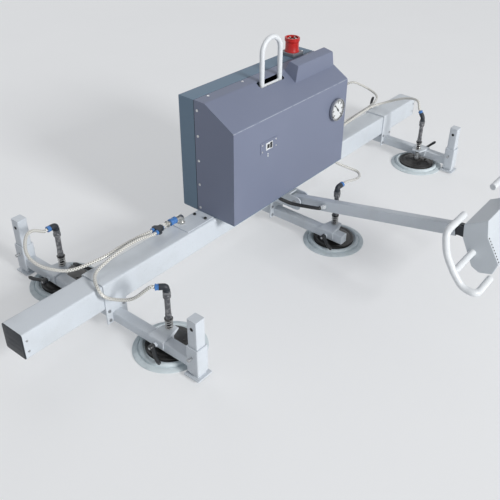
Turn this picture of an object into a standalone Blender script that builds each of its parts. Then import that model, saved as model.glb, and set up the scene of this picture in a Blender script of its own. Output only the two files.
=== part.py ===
"""A six-cup vacuum lifter for sheet metal, in metres, +Z up, standing on its cups.

X runs along the main beam, the operator stands at -Y. The beam carries the pump housing, a fixed
middle crossbar and two sliding crossbars. Each crossbar arm carries a sliding cup carrier, and the
outer arms end in a sleeve with a parking leg.
"""

import math

import bmesh
import bpy
from mathutils import Matrix, Vector

# General fits and sheet sizes
GAP = 0.0003
SLIDE_FIT = 0.0005
SADDLE_SHEET = 0.005

# Main beam: a rolled square tube with plastic plugs
BEAM_LENGTH = 2.530
BEAM_SIZE = 0.100
BEAM_WALL = 0.004
BEAM_CORNER = 0.008
BEAM_CLEARANCE = 0.100
CAP_DEPTH = 0.018
CAP_INSET = 0.004
CAP_WALL = 0.003

# Crossbars: saddle, square arms, leg sleeves
LEFT_SADDLE_X = -0.908
RIGHT_SADDLE_X = 0.958
SADDLE_LENGTH = 0.090
SADDLE_SKIRT = 0.064
ARM_SIZE = 0.040
ARM_WALL = 0.003
ARM_DROP = 0.022
FRONT_REACH = 0.436
REAR_REACH = 0.4585
MIDDLE_REACH = 0.410
SLEEVE_SIZE = 0.050
SLEEVE_ABOVE_ARM = 0.054
SLEEVE_BELOW_ARM = 0.013
LEG_SIZE = 0.040
LEG_ABOVE_SLEEVE = 0.112
LEG_WALL = 0.003
LEG_HOLE = 0.007
LEG_HOLE_DOWN = 0.034
FOOT_SIZE = 0.066
FOOT_THICKNESS = 0.005
FOOT_CLEARANCE = 0.008
CUP_FROM_FRONT_LEG = 0.166
CUP_FROM_REAR_LEG = 0.1665
CUP_FROM_ARM_END = 0.075
PLUNGER_RADIUS = 0.006
PLUNGER_LENGTH = 0.017
PLUNGER_RING_RADIUS = 0.009
STOP_BAR_WIDTH = 0.030
BOLT_RADIUS = 0.006
BOLT_HEIGHT = 0.004

# Cup carriers and clamp levers
CARRIER_LENGTH = 0.070
CARRIER_SHEET = 0.005
CARRIER_SKIRT = 0.033
CARRIER_CORNER = 0.012
STEM_OFFSET = 0.040
STEM_EDGE = 0.022
BOSS_RADIUS = 0.009
BOSS_LENGTH = 0.008
SCREW_RADIUS = 0.004
LEVER_HUB_RADIUS = 0.009
LEVER_HUB_LENGTH = 0.020
LEVER_HUB_SHOULDER = 0.016
LEVER_HUB_TOP = 0.0054
LEVER_BAR_RADIUS = 0.0061
LEVER_WAIST_RADIUS = 0.0055
LEVER_TIP_RADIUS = 0.0043
CARRIER_LEVER_LENGTH = 0.064
SADDLE_LEVER_LENGTH = 0.088
LEVER_RISE = 0.020
SADDLE_LEVER_X = 0.025
SADDLE_LEVER_DOWN = 0.030

# Spring stems and suction cups
ROD_RADIUS = 0.008
ROD_FIT = 0.0004
SPRING_HEIGHT = 0.040
SPRING_RADIUS = 0.0125
WIRE_RADIUS = 0.0015
SPRING_TURNS = 4
FLANGE_RADIUS = 0.015
FLANGE_HEIGHT = 0.005
STEM_SLEEVE_RADIUS = 0.0105
STEM_SLEEVE_LENGTH = 0.088
COLLAR_RADIUS = 0.0135
COLLAR_HEIGHT = 0.012
NUT_ACROSS = 0.028
NUT_HEIGHT = 0.014
STOP_RADIUS = 0.013
STOP_HEIGHT = 0.010
ELBOW_RADIUS = 0.011
ELBOW_HEIGHT = 0.018
ELBOW_BEND = 0.009
ELBOW_REACH = 0.030
ELBOW_COLLAR = 0.006
ELBOW_COLLAR_RADIUS = 0.0115
CUP_RADIUS = 0.130
LIP_WIDTH = 0.026
LIP_HEIGHT = 0.006
LIP_EDGE = 0.0042
BEAD_RADIUS = 0.097
BEAD_WIDTH = 0.012
CUP_HEIGHT = 0.033
DISC_HEIGHT = 0.027
DISC_EDGE_HEIGHT = 0.0216
DISC_GROOVE_HEIGHT = 0.0135
CUP_HUB_RADIUS = 0.018
CUP_HOLLOW = 0.005

# Pump housing
HOUSING_X = -0.0165
HOUSING_LENGTH = 0.748
HOUSING_FRONT = -0.1474
HOUSING_JOINT = 0.0447
HOUSING_REAR = 0.1186
HOUSING_HEIGHT = 0.4664
SHOULDER_HEIGHT = 0.3867
SLOPE_START = -0.0088
HOUSING_SHEET = 0.002
COVER_BEND = 0.014
PLATE_THICKNESS = 0.003
PLATE_WIDTH = 0.080
PLATE_OVERHANG = 0.1424
HOOD_LEFT = 0.075
HOOD_RIGHT = 0.350
HOOD_FRONT = -0.075
HOOD_BACK = -0.012
HOOD_RIDGE = -0.028
HOOD_HEIGHT = 0.0385
EYE_X = -0.029
EYE_Y = -0.028
EYE_SPAN = 0.112
EYE_RADIUS = 0.010
EYE_TOP = 0.174
EYE_CROSSBAR = 0.006
SLOT_MARGIN = 0.010
INLET_X = 0.255
INLET_RADIUS = 0.0325
INLET_HEIGHT = 0.060
INLET_BODY_RADIUS = 0.029
INLET_COLLAR_HEIGHT = 0.0185
INLET_COLLAR_TAPER = 0.0035
INLET_BASE = 0.074
INLET_BASE_HEIGHT = 0.014
INLET_WALL = 0.004
INLET_DEPTH = 0.038
PIN_RADIUS = 0.0032
PIN_CIRCLE = 0.016
GAUGE_X = 0.275
GAUGE_Z = 0.274
GAUGE_RADIUS = 0.052
GAUGE_BACK_RADIUS = 0.049
GAUGE_FRONT_RADIUS = 0.0505
GAUGE_DEPTH = 0.018
GAUGE_RIM = 0.006
NEEDLE_LENGTH = 0.034
SWITCH_X = -0.186
SWITCH_Z = 0.271
SWITCH_PLATE_WIDTH = 0.104
SWITCH_PLATE_HEIGHT = 0.048
SWITCH_WINDOW_WIDTH = 0.036
SWITCH_WINDOW_HEIGHT = 0.014

# Vacuum outlets with hand slide valves
PIPE_RADIUS = 0.008
PIPE_HEIGHT = 0.0290
PIPE_Y = 0.026
ELBOW_FROM_PLATE_END = 0.033
VALVE_START = 0.031
VALVE_TRAVEL = 0.010
VALVE_LENGTH = 0.030
VALVE_RADIUS = 0.0135
VALVE_BAND = 0.009
VALVE_GROOVE_RADIUS = 0.0125
VALVE_GROOVE_TAPER = 0.0015
STOP_RING = 0.003
PIPE_LENGTH = 0.100
WYE_LENGTH = 0.034
WYE_NECK = 0.010
WYE_SHOULDER = 0.020
WYE_WIDTH = 0.042
WYE_HEIGHT = 0.020
HOSE_RADIUS = 0.006
HOSE_COLLAR_RADIUS = 0.009
HOSE_COLLAR_LENGTH = 0.009
HOSE_SPACING = 0.022

# Operator arm
BRACKET_END = -0.172
BRACKET_CHEEK = 0.006
BRACKET_HEIGHT = 0.060
BRACKET_BRIDGE = -0.140
BRACKET_NOSE_BEND = 0.020
BRACKET_PIVOT_DOWN = 0.0445
CONTROL_ARM_WIDTH = 0.030
CONTROL_ARM_HEIGHT = 0.048
CONTROL_ARM_WALL = 0.003
CONTROL_ARM_RISE = 12.2
CONTROL_ARM_LENGTH = 0.724
KNUCKLE_LENGTH = 0.046
BOX_HALF_WIDTH = 0.110
HANDLE_OFFSET = 0.2645
HANDLE_INNER = 0.122
HANDLE_RADIUS = 0.0125
BUTTON_RADIUS = 0.011
BUTTON_HEIGHT = 0.008
BUTTON_EDGE = 0.0056
BUTTON_TOP_RADIUS = 0.0093
BUTTON_TRAVEL = 0.003
CABLE_RADIUS = 0.0075
GLAND_RADIUS = 0.011
GLAND_REACH = 0.0154
GLAND_ALONG = 0.150

# Heights that follow from the sizes above
BEAM_BOTTOM = BEAM_CLEARANCE
BEAM_TOP = BEAM_BOTTOM + BEAM_SIZE
HALF_BEAM = BEAM_SIZE / 2
ARM_TOP = BEAM_BOTTOM - ARM_DROP
ARM_BOTTOM = ARM_TOP - ARM_SIZE
SADDLE_INNER = HALF_BEAM + SLIDE_FIT
SADDLE_OUTER = SADDLE_INNER + SADDLE_SHEET
SLEEVE_TOP = ARM_TOP + SLEEVE_ABOVE_ARM
SLEEVE_BOTTOM = ARM_BOTTOM - SLEEVE_BELOW_ARM
CARRIER_UNDER = ARM_TOP + SLIDE_FIT
CARRIER_TOP = CARRIER_UNDER + CARRIER_SHEET
CARRIER_INNER = ARM_SIZE / 2 + SLIDE_FIT
CARRIER_OUTER = CARRIER_INNER + CARRIER_SHEET
CLAMP_Z = ARM_BOTTOM + ARM_SIZE / 2
SPRING_BOTTOM = CARRIER_TOP + GAP
PLATE_BOTTOM = BEAM_TOP + GAP
PLATE_TOP = PLATE_BOTTOM + PLATE_THICKNESS
HOUSING_BOTTOM = PLATE_TOP + GAP
PLATE_HALF_LENGTH = HOUSING_LENGTH / 2 + PLATE_OVERHANG
PIPE_Z = PLATE_TOP + PIPE_HEIGHT
BRACKET_PIVOT_Z = BEAM_TOP - BRACKET_PIVOT_DOWN
BRACKET_PIVOT_Y = BRACKET_END
HOUSING_TOP = HOUSING_BOTTOM + HOUSING_HEIGHT
SHOULDER_Z = HOUSING_BOTTOM + SHOULDER_HEIGHT
TILT_ALONG = CONTROL_ARM_LENGTH + KNUCKLE_LENGTH / 2
STEM_TOP = SPRING_BOTTOM + SPRING_HEIGHT + GAP + FLANGE_HEIGHT
STEM_TOP += STEM_SLEEVE_LENGTH + COLLAR_HEIGHT + NUT_HEIGHT

# Small details: bends, bites, bolts, screws
ARM_CORNER = 0.003
SLEEVE_BITE = 0.002
PLUNGER_DOWN = 0.038
ARM_HOLE = 0.004
ARM_TAIL = 0.022
BRACKET_SPACER = 0.0115
PIVOT_RADIUS = 0.007
PIVOT_HEAD_RADIUS = 0.0105
TILT_PIN_RADIUS = 0.005
TONGUE_WIDTH = 0.012
TONGUE_BEND = 0.0158
FORK_BEND = 0.0135
FORK_SLOT = 0.030
FORK_REACH = 0.085
BOX_CORNER = 0.005
HANDLE_BEND = 0.022
HANDLE_TAIL = 1.23
BUTTON_X = 0.0
HOOD_LIP = 0.010
INLET_PINS = 5
NEEDLE_TURN = 40
PLATE_BOLTS = [(0.108, 0.028), (0.113, -0.024)]
COVER_SCREW_RADIUS = 0.0045
COVER_SCREW_HEIGHT = 0.0025
COVER_SCREW_EDGE = 0.010
SCREW_ROWS = (0.08, 0.36, 0.64, 0.92)
SADDLE_LEVER_TURN = {"left": 139, "right": 45}

# Cup stations: Y on the arm, side of the stem, lever angle, elbow heading and rise in degrees
STATIONS = {
    "front_left": (CUP_FROM_FRONT_LEG - FRONT_REACH, 1, 205, (135, 0)),
    "rear_left": (REAR_REACH - CUP_FROM_REAR_LEG, 1, 0, (180, 0)),
    "front_middle": (CUP_FROM_ARM_END - MIDDLE_REACH, 1, 205, (0, 0)),
    "rear_middle": (MIDDLE_REACH - CUP_FROM_ARM_END, 1, 0, (0, 0)),
    "front_right": (CUP_FROM_FRONT_LEG - FRONT_REACH, -1, 135, (75, 50)),
    "rear_right": (REAR_REACH - CUP_FROM_REAR_LEG, -1, 0, (-55, 15)),
}

# Hand-chosen points of the hoses and of the console cable, from the photograph
HOSE_POINTS = {
    "front_left": [
        (-0.926, -0.165, 0.190),
        (-0.958, -0.100, 0.177),
        (-0.976, -0.080, 0.188),
        (-0.980, -0.070, 0.207),
        (-0.972, -0.046, 0.219),
        (-0.950, -0.012, 0.221),
        (-0.915, 0.010, 0.224),
        (-0.812, 0.015, 0.243),
        (-0.724, 0.015, 0.246),
    ],
    "rear_left": [
        (-0.956, 0.290, 0.286),
        (-0.993, 0.280, 0.289),
        (-1.036, 0.230, 0.258),
        (-1.034, 0.170, 0.232),
        (-0.996, 0.110, 0.217),
        (-0.957, 0.080, 0.215),
        (-0.860, 0.045, 0.229),
        (-0.791, 0.040, 0.237),
        (-0.706, 0.038, 0.237),
    ],
    "front_right": [
        (0.936, -0.225, 0.333),
        (0.958, -0.160, 0.322),
        (0.955, -0.100, 0.300),
        (0.947, -0.030, 0.265),
        (0.900, 0.010, 0.250),
        (0.805, 0.018, 0.243),
        (0.691, 0.016, 0.236),
    ],
    "rear_right": [
        (0.981, 0.200, 0.308),
        (1.035, 0.180, 0.284),
        (1.075, 0.150, 0.257),
        (1.074, 0.105, 0.243),
        (1.040, 0.068, 0.236),
        (0.968, 0.050, 0.230),
        (0.840, 0.040, 0.231),
        (0.717, 0.037, 0.230),
    ],
    "front_middle": [
        (0.160, -0.318, 0.235),
        (0.273, -0.282, 0.182),
        (0.375, -0.245, 0.140),
        (0.415, -0.210, 0.138),
        (0.392, -0.175, 0.152),
    ],
}
HOSE_INLET = (0.345, -0.128)
CABLE_OUTLET = (-0.085, -0.132)
CABLE_POINTS = [(-0.078, -0.150, 0.180), (-0.062, -0.190, 0.171)]


# The console's side outline and the handle route, as Y and Z from the console's tilt pivot
BOX_OUTLINE = [
    (-0.039, 0.093),
    (-0.119, 0.140),
    (-0.130, 0.077),
    (-0.186, -0.010),
    (-0.172, -0.058),
    (-0.125, -0.072),
    (-0.095, -0.059),
    (-0.044, 0.039),
]
PANEL_TOP = BOX_OUTLINE[2]
PANEL_FOOT = BOX_OUTLINE[3]
HANDLE_TOP = (-0.037, 0.138)
HANDLE_GRIP = [(-0.053, 0.061), (-0.090, 0.000), (-0.129, -0.043)]
HANDLE_FOOT = (-0.180, -0.047)
STUB_AT = (-0.088, -0.002)

# Sides of the round and square corners
ROUND_SIDES = 10
SMALL_SIDES = 8
CUP_SIDES = 18
CORNER_STEPS = 1
BEND_STEPS = 2
ARCH_STEPS = 8
COIL_STEPS = 8
COIL_SIDES = 4


def clear_scene():
    for item in list(bpy.data.objects):
        bpy.data.objects.remove(item, do_unlink=True)


def paint(name, colour, roughness, metallic=0.0):
    made = bpy.data.materials.new(name)
    made.use_nodes = True
    shader = made.node_tree.nodes["Principled BSDF"]
    shader.inputs["Base Color"].default_value = (*colour, 1.0)
    shader.inputs["Roughness"].default_value = roughness
    shader.inputs["Metallic"].default_value = metallic
    return made


def skin(rings, loop=False):
    """A closed mesh over rings of points, capped at both ends or joined into a loop."""
    shape = bmesh.new()
    made = [[shape.verts.new(point) for point in ring] for ring in rings]
    pairs = list(zip(made, made[1:]))
    if loop:
        pairs.append((made[-1], made[0]))
    else:
        shape.faces.new(made[0])
        shape.faces.new(made[-1])
    for first, second in pairs:
        for i in range(len(first)):
            shape.faces.new((first[i - 1], first[i], second[i], second[i - 1]))
    bmesh.ops.recalc_face_normals(shape, faces=shape.faces)
    mesh = bpy.data.meshes.new("shape")
    shape.to_mesh(mesh)
    shape.free()
    mesh.shade_smooth()
    mesh.set_sharp_from_angle(angle=math.radians(35))
    return mesh


def spread(axis, depth, outline):
    """The outline's points on the plane across the axis at this depth."""
    if axis == "x":
        return [Vector((depth, u, v)) for u, v in outline]
    if axis == "y":
        return [Vector((u, depth, v)) for u, v in outline]
    return [Vector((u, v, depth)) for u, v in outline]


def prism(outline, low, high, axis="z"):
    return skin([spread(axis, low, outline), spread(axis, high, outline)])


def hollow_prism(outer, inner, low, high, axis):
    rings = [(low, outer), (high, outer), (high, inner), (low, inner)]
    return skin([spread(axis, depth, outline) for depth, outline in rings], loop=True)


def soften(points, radius, closed=True, steps=CORNER_STEPS):
    """The route or outline with each corner rounded off by a short curve."""
    points = [Vector(point) for point in points]
    last = len(points) - 1
    made = []
    for i, corner in enumerate(points):
        if not closed and i in (0, last):
            made.append(corner)
            continue
        before = corner + (points[i - 1] - corner).normalized() * radius
        after = corner + (points[(i + 1) % len(points)] - corner).normalized() * radius
        for k in range(steps + 1):
            t = k / steps
            made.append(before * (1 - t) ** 2 + corner * 2 * t * (1 - t) + after * t * t)
    return made


def rectangle(left, right, bottom, top, radius=0.0):
    corners = [(left, bottom), (right, bottom), (right, top), (left, top)]
    return soften(corners, radius) if radius else corners


def circle(radius, sides=ROUND_SIDES, middle=(0.0, 0.0)):
    turns = [2 * math.pi * k / sides for k in range(sides)]
    return [(middle[0] + radius * math.cos(t), middle[1] + radius * math.sin(t)) for t in turns]


def turned(profile, sides=ROUND_SIDES, loop=False):
    """A turned solid from radius and height pairs, flat at both ends, or a ring."""
    return skin([spread("z", height, circle(radius, sides)) for radius, height in profile], loop)


def disc(radius, low, high, axis="z", middle=(0.0, 0.0), sides=ROUND_SIDES):
    return prism(circle(radius, sides, middle), low, high, axis)


def sweep(route, radii, sides=SMALL_SIDES):
    """A round bar along the route, with one radius or one for each point."""
    route = [Vector(point) for point in route]
    if not isinstance(radii, (list, tuple)):
        radii = [radii] * len(route)
    side = (route[1] - route[0]).orthogonal()
    rings = []
    for i, point in enumerate(route):
        heading = (route[min(i + 1, len(route) - 1)] - route[max(i - 1, 0)]).normalized()
        side = (side - heading * side.dot(heading)).normalized()
        other = heading.cross(side)
        turns = [2 * math.pi * k / sides for k in range(sides)]
        rings.append([point + (side * math.cos(t) + other * math.sin(t)) * radii[i] for t in turns])
    return skin(rings)


def add(name, mesh, colour, parent=None, place=(0, 0, 0)):
    item = bpy.data.objects.new(name, mesh)
    item.location = place
    item.parent = parent
    mesh.materials.append(colour)
    bpy.context.scene.collection.objects.link(item)
    return item


def shape_with(item, mesh, operation):
    """Joins a helper mesh to the item, or cuts it away, in the item's own frame."""
    helper = bpy.data.objects.new(f"{item.name}_helper", mesh)
    helper.parent = item
    helper.hide_render = True
    helper.display_type = "WIRE"
    bpy.context.scene.collection.objects.link(helper)
    step = item.modifiers.new(operation.lower(), "BOOLEAN")
    step.operation = operation
    step.solver = "EXACT"
    step.object = helper


def join(item, *meshes):
    for mesh in meshes:
        shape_with(item, mesh, "UNION")


def cut(item, *meshes):
    for mesh in meshes:
        shape_with(item, mesh, "DIFFERENCE")


def smooth_route(points, spacing):
    """Evenly close points on a smooth curve through the given ones."""
    points = [Vector(point) for point in points]
    padded = [points[0] * 2 - points[1], *points, points[-1] * 2 - points[-2]]
    made = [points[0]]
    for a, b, c, d in zip(padded, padded[1:], padded[2:], padded[3:]):
        steps = max(1, round((c - b).length / spacing))
        for k in range(1, steps + 1):
            t = k / steps
            pull = (c - a) * t + (a * 2 - b * 5 + c * 4 - d) * t**2 + (b * 3 - a - c * 3 + d) * t**3
            made.append(b + pull / 2)
    return made


def hose(name, route, radius, colour, parent):
    curve = bpy.data.curves.new(name, "CURVE")
    curve.dimensions = "3D"
    curve.bevel_depth = radius
    curve.bevel_resolution = 2
    curve.use_fill_caps = True
    points = smooth_route(route, radius * 6)
    spline = curve.splines.new("POLY")
    spline.points.add(len(points) - 1)
    for knot, point in zip(spline.points, points):
        knot.co = (*point, 1.0)
    curve.materials.append(colour)
    item = bpy.data.objects.new(name, curve)
    item.parent = parent
    bpy.context.scene.collection.objects.link(item)
    return item


def make_beam(root, colours):
    """The square tube and its two plugs."""
    half = HALF_BEAM
    inner = half - BEAM_WALL
    outside = rectangle(-half, half, BEAM_BOTTOM, BEAM_TOP, BEAM_CORNER)
    inside = rectangle(
        -inner, inner, BEAM_BOTTOM + BEAM_WALL, BEAM_TOP - BEAM_WALL, BEAM_CORNER - BEAM_WALL
    )
    end = BEAM_LENGTH / 2
    add("main_beam", hollow_prism(outside, inside, -end, end, "x"), colours["light"], root)
    plug = inner - GAP
    middle = BEAM_BOTTOM + half
    face = rectangle(-plug, plug, middle - plug, middle + plug, BEAM_CORNER - BEAM_WALL)
    well = plug - CAP_WALL
    pocket = rectangle(-well, well, middle - well, middle + well)
    for name, side in (("left", -1), ("right", 1)):
        outer = side * (end - CAP_INSET)
        inner_end = outer - side * CAP_DEPTH
        cap = add(f"end_cap_{name}", prism(face, outer, inner_end, "x"), colours["black"], root)
        cut(cap, prism(pocket, outer - side * CAP_WALL, inner_end - side * CAP_WALL, "x"))


def merged(meshes):
    """Several separate meshes as one, so that one step joins or cuts a whole pattern."""
    shape = bmesh.new()
    for mesh in meshes:
        shape.from_mesh(mesh)
    whole = bpy.data.meshes.new("pattern")
    shape.to_mesh(whole)
    shape.free()
    return whole


def turn_to(outward, along):
    """The rotation that takes local Z to outward and local X towards along."""
    z = Vector(outward).normalized()
    x = Vector(along)
    x = (x - z * x.dot(z)).normalized()
    y = z.cross(x)
    return Matrix((x, y, z)).transposed().to_euler()


def make_lever(name, parent, place, outward, along, length, screw, colour):
    """A clamp lever: threaded screw, turned hub and a swept handle that rises from it."""
    hub = [
        (SCREW_RADIUS, -screw),
        (SCREW_RADIUS, 0.0),
        (LEVER_HUB_RADIUS, 0.0),
        (LEVER_HUB_RADIUS, LEVER_HUB_SHOULDER),
        (LEVER_HUB_TOP, LEVER_HUB_LENGTH),
    ]
    middle = LEVER_HUB_LENGTH / 2
    route = [
        (0.0, 0.0, middle),
        (length * 0.25, 0.0, middle + LEVER_RISE * 0.2),
        (length * 0.60, 0.0, middle + LEVER_RISE * 0.8),
        (length, 0.0, middle + LEVER_RISE),
    ]
    handle = sweep(route, [LEVER_BAR_RADIUS, LEVER_WAIST_RADIUS, LEVER_BAR_RADIUS, LEVER_TIP_RADIUS])
    lever = add(name, turned(hub, SMALL_SIDES), colour, parent, place)
    lever.rotation_euler = turn_to(outward, along)
    join(lever, handle)
    return lever


def bolt_heads(side, face, rows):
    """Hexagon heads on both sides of an arm, on a face across Y."""
    near, far = face - side * GAP, face + side * BOLT_HEIGHT
    x = ARM_SIZE / 2 + 2 * BOLT_RADIUS
    spots = [(sign * x, z) for sign in (-1, 1) for z in rows]
    return [disc(BOLT_RADIUS, near, far, "y", spot, 6) for spot in spots]


def add_arms(bar, front, rear):
    """The square tube through the saddle under the beam, its drain hole and the bolts."""
    half = ARM_SIZE / 2
    outline = rectangle(-half, half, ARM_BOTTOM, ARM_TOP, ARM_CORNER)
    join(bar, prism(outline, -front, rear, "y"))
    inner = half - ARM_WALL
    bore = rectangle(-inner, inner, ARM_BOTTOM + ARM_WALL, ARM_TOP - ARM_WALL)
    cut(bar, prism(bore, ARM_WALL - front, rear - ARM_WALL, "y"))
    cut(bar, disc(ARM_HOLE, ARM_BOTTOM - ARM_WALL, ARM_BOTTOM + 2 * ARM_WALL, sides=SMALL_SIDES))
    rows = (ARM_BOTTOM + 2 * BOLT_RADIUS, ARM_TOP + 2 * BOLT_RADIUS)
    heads = bolt_heads(-1, -SADDLE_OUTER, rows) + bolt_heads(1, SADDLE_OUTER, rows)
    join(bar, merged(heads))


def add_sleeve(bar, reach):
    """A square sleeve across the arm's end, with the leg's lock plunger and its stop bar."""
    half = SLEEVE_SIZE / 2
    bore = LEG_SIZE / 2 + SLIDE_FIT
    outside = rectangle(-half, half, reach - half, reach + half, ARM_CORNER)
    inside = rectangle(-bore, bore, reach - bore, reach + bore, ARM_CORNER)
    join(bar, hollow_prism(outside, inside, SLEEVE_BOTTOM, SLEEVE_TOP, "z"))
    z = SLEEVE_TOP - PLUNGER_DOWN
    near, far = half - SLEEVE_BITE, half + PLUNGER_LENGTH
    head = disc(PLUNGER_RADIUS, -far, -near, "x", (reach, z), SMALL_SIDES)
    ring = disc(PLUNGER_RING_RADIUS, -far + PLUNGER_RADIUS, -far + 2 * PLUNGER_RADIUS, "x", (reach, z))
    wide = STOP_BAR_WIDTH / 2
    bar_outline = rectangle(reach - wide, reach + wide, z - GAP, z + PLUNGER_RADIUS)
    join(bar, merged([head, prism(bar_outline, near, half + PLUNGER_RADIUS, "x")]), ring)


def make_sliding_crossbar(side, x, root, colours):
    """An inverted channel over the beam with the arms, sleeves and the clamp boss."""
    top = BEAM_TOP + SLIDE_FIT
    foot = BEAM_BOTTOM - SADDLE_SKIRT
    corners = [
        (-SADDLE_OUTER, foot),
        (-SADDLE_OUTER, top + SADDLE_SHEET),
        (SADDLE_OUTER, top + SADDLE_SHEET),
        (SADDLE_OUTER, foot),
    ]
    outline = soften(corners, SADDLE_SHEET, closed=False)
    outline += [(SADDLE_INNER, foot), (SADDLE_INNER, top), (-SADDLE_INNER, top), (-SADDLE_INNER, foot)]
    half = SADDLE_LENGTH / 2
    bar = add(f"crossbar_{side}", prism(outline, -half, half, "x"), colours["light"], root, (x, 0, 0))
    wall = SLEEVE_SIZE / 2 - SLEEVE_BITE
    add_arms(bar, FRONT_REACH - wall, REAR_REACH - wall)
    add_sleeve(bar, -FRONT_REACH)
    add_sleeve(bar, REAR_REACH)
    z = BEAM_TOP - SADDLE_LEVER_DOWN
    end = SADDLE_OUTER + BOSS_LENGTH
    spot = (SADDLE_LEVER_X, z)
    join(bar, disc(BOSS_RADIUS, SADDLE_OUTER - GAP, end, "y", spot))
    cut(bar, disc(SCREW_RADIUS + ROD_FIT, SADDLE_INNER - GAP, end + GAP, "y", spot, SMALL_SIDES))
    turn = math.radians(SADDLE_LEVER_TURN[side])
    make_lever(
        f"saddle_lever_{side}",
        bar,
        (SADDLE_LEVER_X, end + GAP, z),
        (0, 1, 0),
        (math.cos(turn), 0, math.sin(turn)),
        SADDLE_LEVER_LENGTH,
        BOSS_LENGTH + SADDLE_SHEET + GAP,
        colours["black"],
    )
    return bar


def make_middle_crossbar(root, colours):
    """The fixed cradle under the beam, its arms and the bracket of the operator arm."""
    top = BEAM_TOP - GAP
    foot = ARM_BOTTOM - GAP
    web = BEAM_BOTTOM - GAP
    outline = [
        (-SADDLE_OUTER, foot),
        (-SADDLE_OUTER, top),
        (-SADDLE_INNER, top),
        (-SADDLE_INNER, web),
        (SADDLE_INNER, web),
        (SADDLE_INNER, top),
        (SADDLE_OUTER, top),
        (SADDLE_OUTER, foot),
        (SADDLE_INNER, foot),
        (SADDLE_INNER, web - SADDLE_SHEET),
        (-SADDLE_INNER, web - SADDLE_SHEET),
        (-SADDLE_INNER, foot),
    ]
    half = SADDLE_LENGTH / 2
    bar = add("crossbar_middle", prism(outline, -half, half, "x"), colours["light"], root)
    add_arms(bar, MIDDLE_REACH, MIDDLE_REACH)
    holes = []
    for y in (-MIDDLE_REACH + ARM_SIZE / 2, MIDDLE_REACH - ARM_SIZE / 2):
        holes.append(disc(ARM_HOLE, -ARM_SIZE, ARM_SIZE, "x", (y, CLAMP_Z), SMALL_SIDES))
    cut(bar, merged(holes))
    outer = CONTROL_ARM_WIDTH / 2 + BRACKET_SPACER + BRACKET_CHEEK
    high = BRACKET_PIVOT_Z + BRACKET_HEIGHT / 2
    low = BRACKET_PIVOT_Z - BRACKET_HEIGHT / 2
    nose = BRACKET_END - BRACKET_HEIGHT / 2
    root_y = -SADDLE_OUTER + SADDLE_SHEET / 2
    cheek = [(root_y, low), (root_y, high)]
    cheek += soften([(BRACKET_END, high), (nose, high), (nose, low), (BRACKET_END, low)], BRACKET_NOSE_BEND, False)
    bridge = [(root_y, high - BRACKET_CHEEK), (root_y, high), (BRACKET_BRIDGE, high)]
    bridge.append((BRACKET_BRIDGE, high - BRACKET_CHEEK))
    inner = outer - BRACKET_CHEEK
    join(bar, merged([prism(cheek, -outer, -inner, "x"), prism(cheek, inner, outer, "x")]))
    join(bar, prism(bridge, -inner - GAP, inner + GAP, "x"))
    pin = PIVOT_RADIUS + ROD_FIT
    cut(bar, disc(pin, -outer - GAP, outer + GAP, "x", (BRACKET_PIVOT_Y, BRACKET_PIVOT_Z)))
    return bar


def make_leg(name, bar, reach, colours):
    """A square parking leg with its foot plate, hollow and open through its lock hole."""
    half = LEG_SIZE / 2
    top = SLEEVE_TOP + LEG_ABOVE_SLEEVE
    foot_top = FOOT_CLEARANCE + FOOT_THICKNESS
    outline = rectangle(-half, half, -half, half, ARM_CORNER)
    leg = add(name, prism(outline, foot_top - GAP, top), colours["light"], bar, (0, reach, 0))
    well = half - LEG_WALL
    cut(leg, prism(rectangle(-well, well, -well, well), foot_top + LEG_WALL, top - LEG_WALL))
    hole = disc(LEG_HOLE, -LEG_SIZE, 0.0, "x", (0.0, top - LEG_HOLE_DOWN), SMALL_SIDES)
    cut(leg, hole)
    foot = FOOT_SIZE / 2
    plate = rectangle(-foot, foot, -foot, foot, ARM_CORNER)
    join(leg, prism(plate, FOOT_CLEARANCE, foot_top))
    return leg


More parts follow.
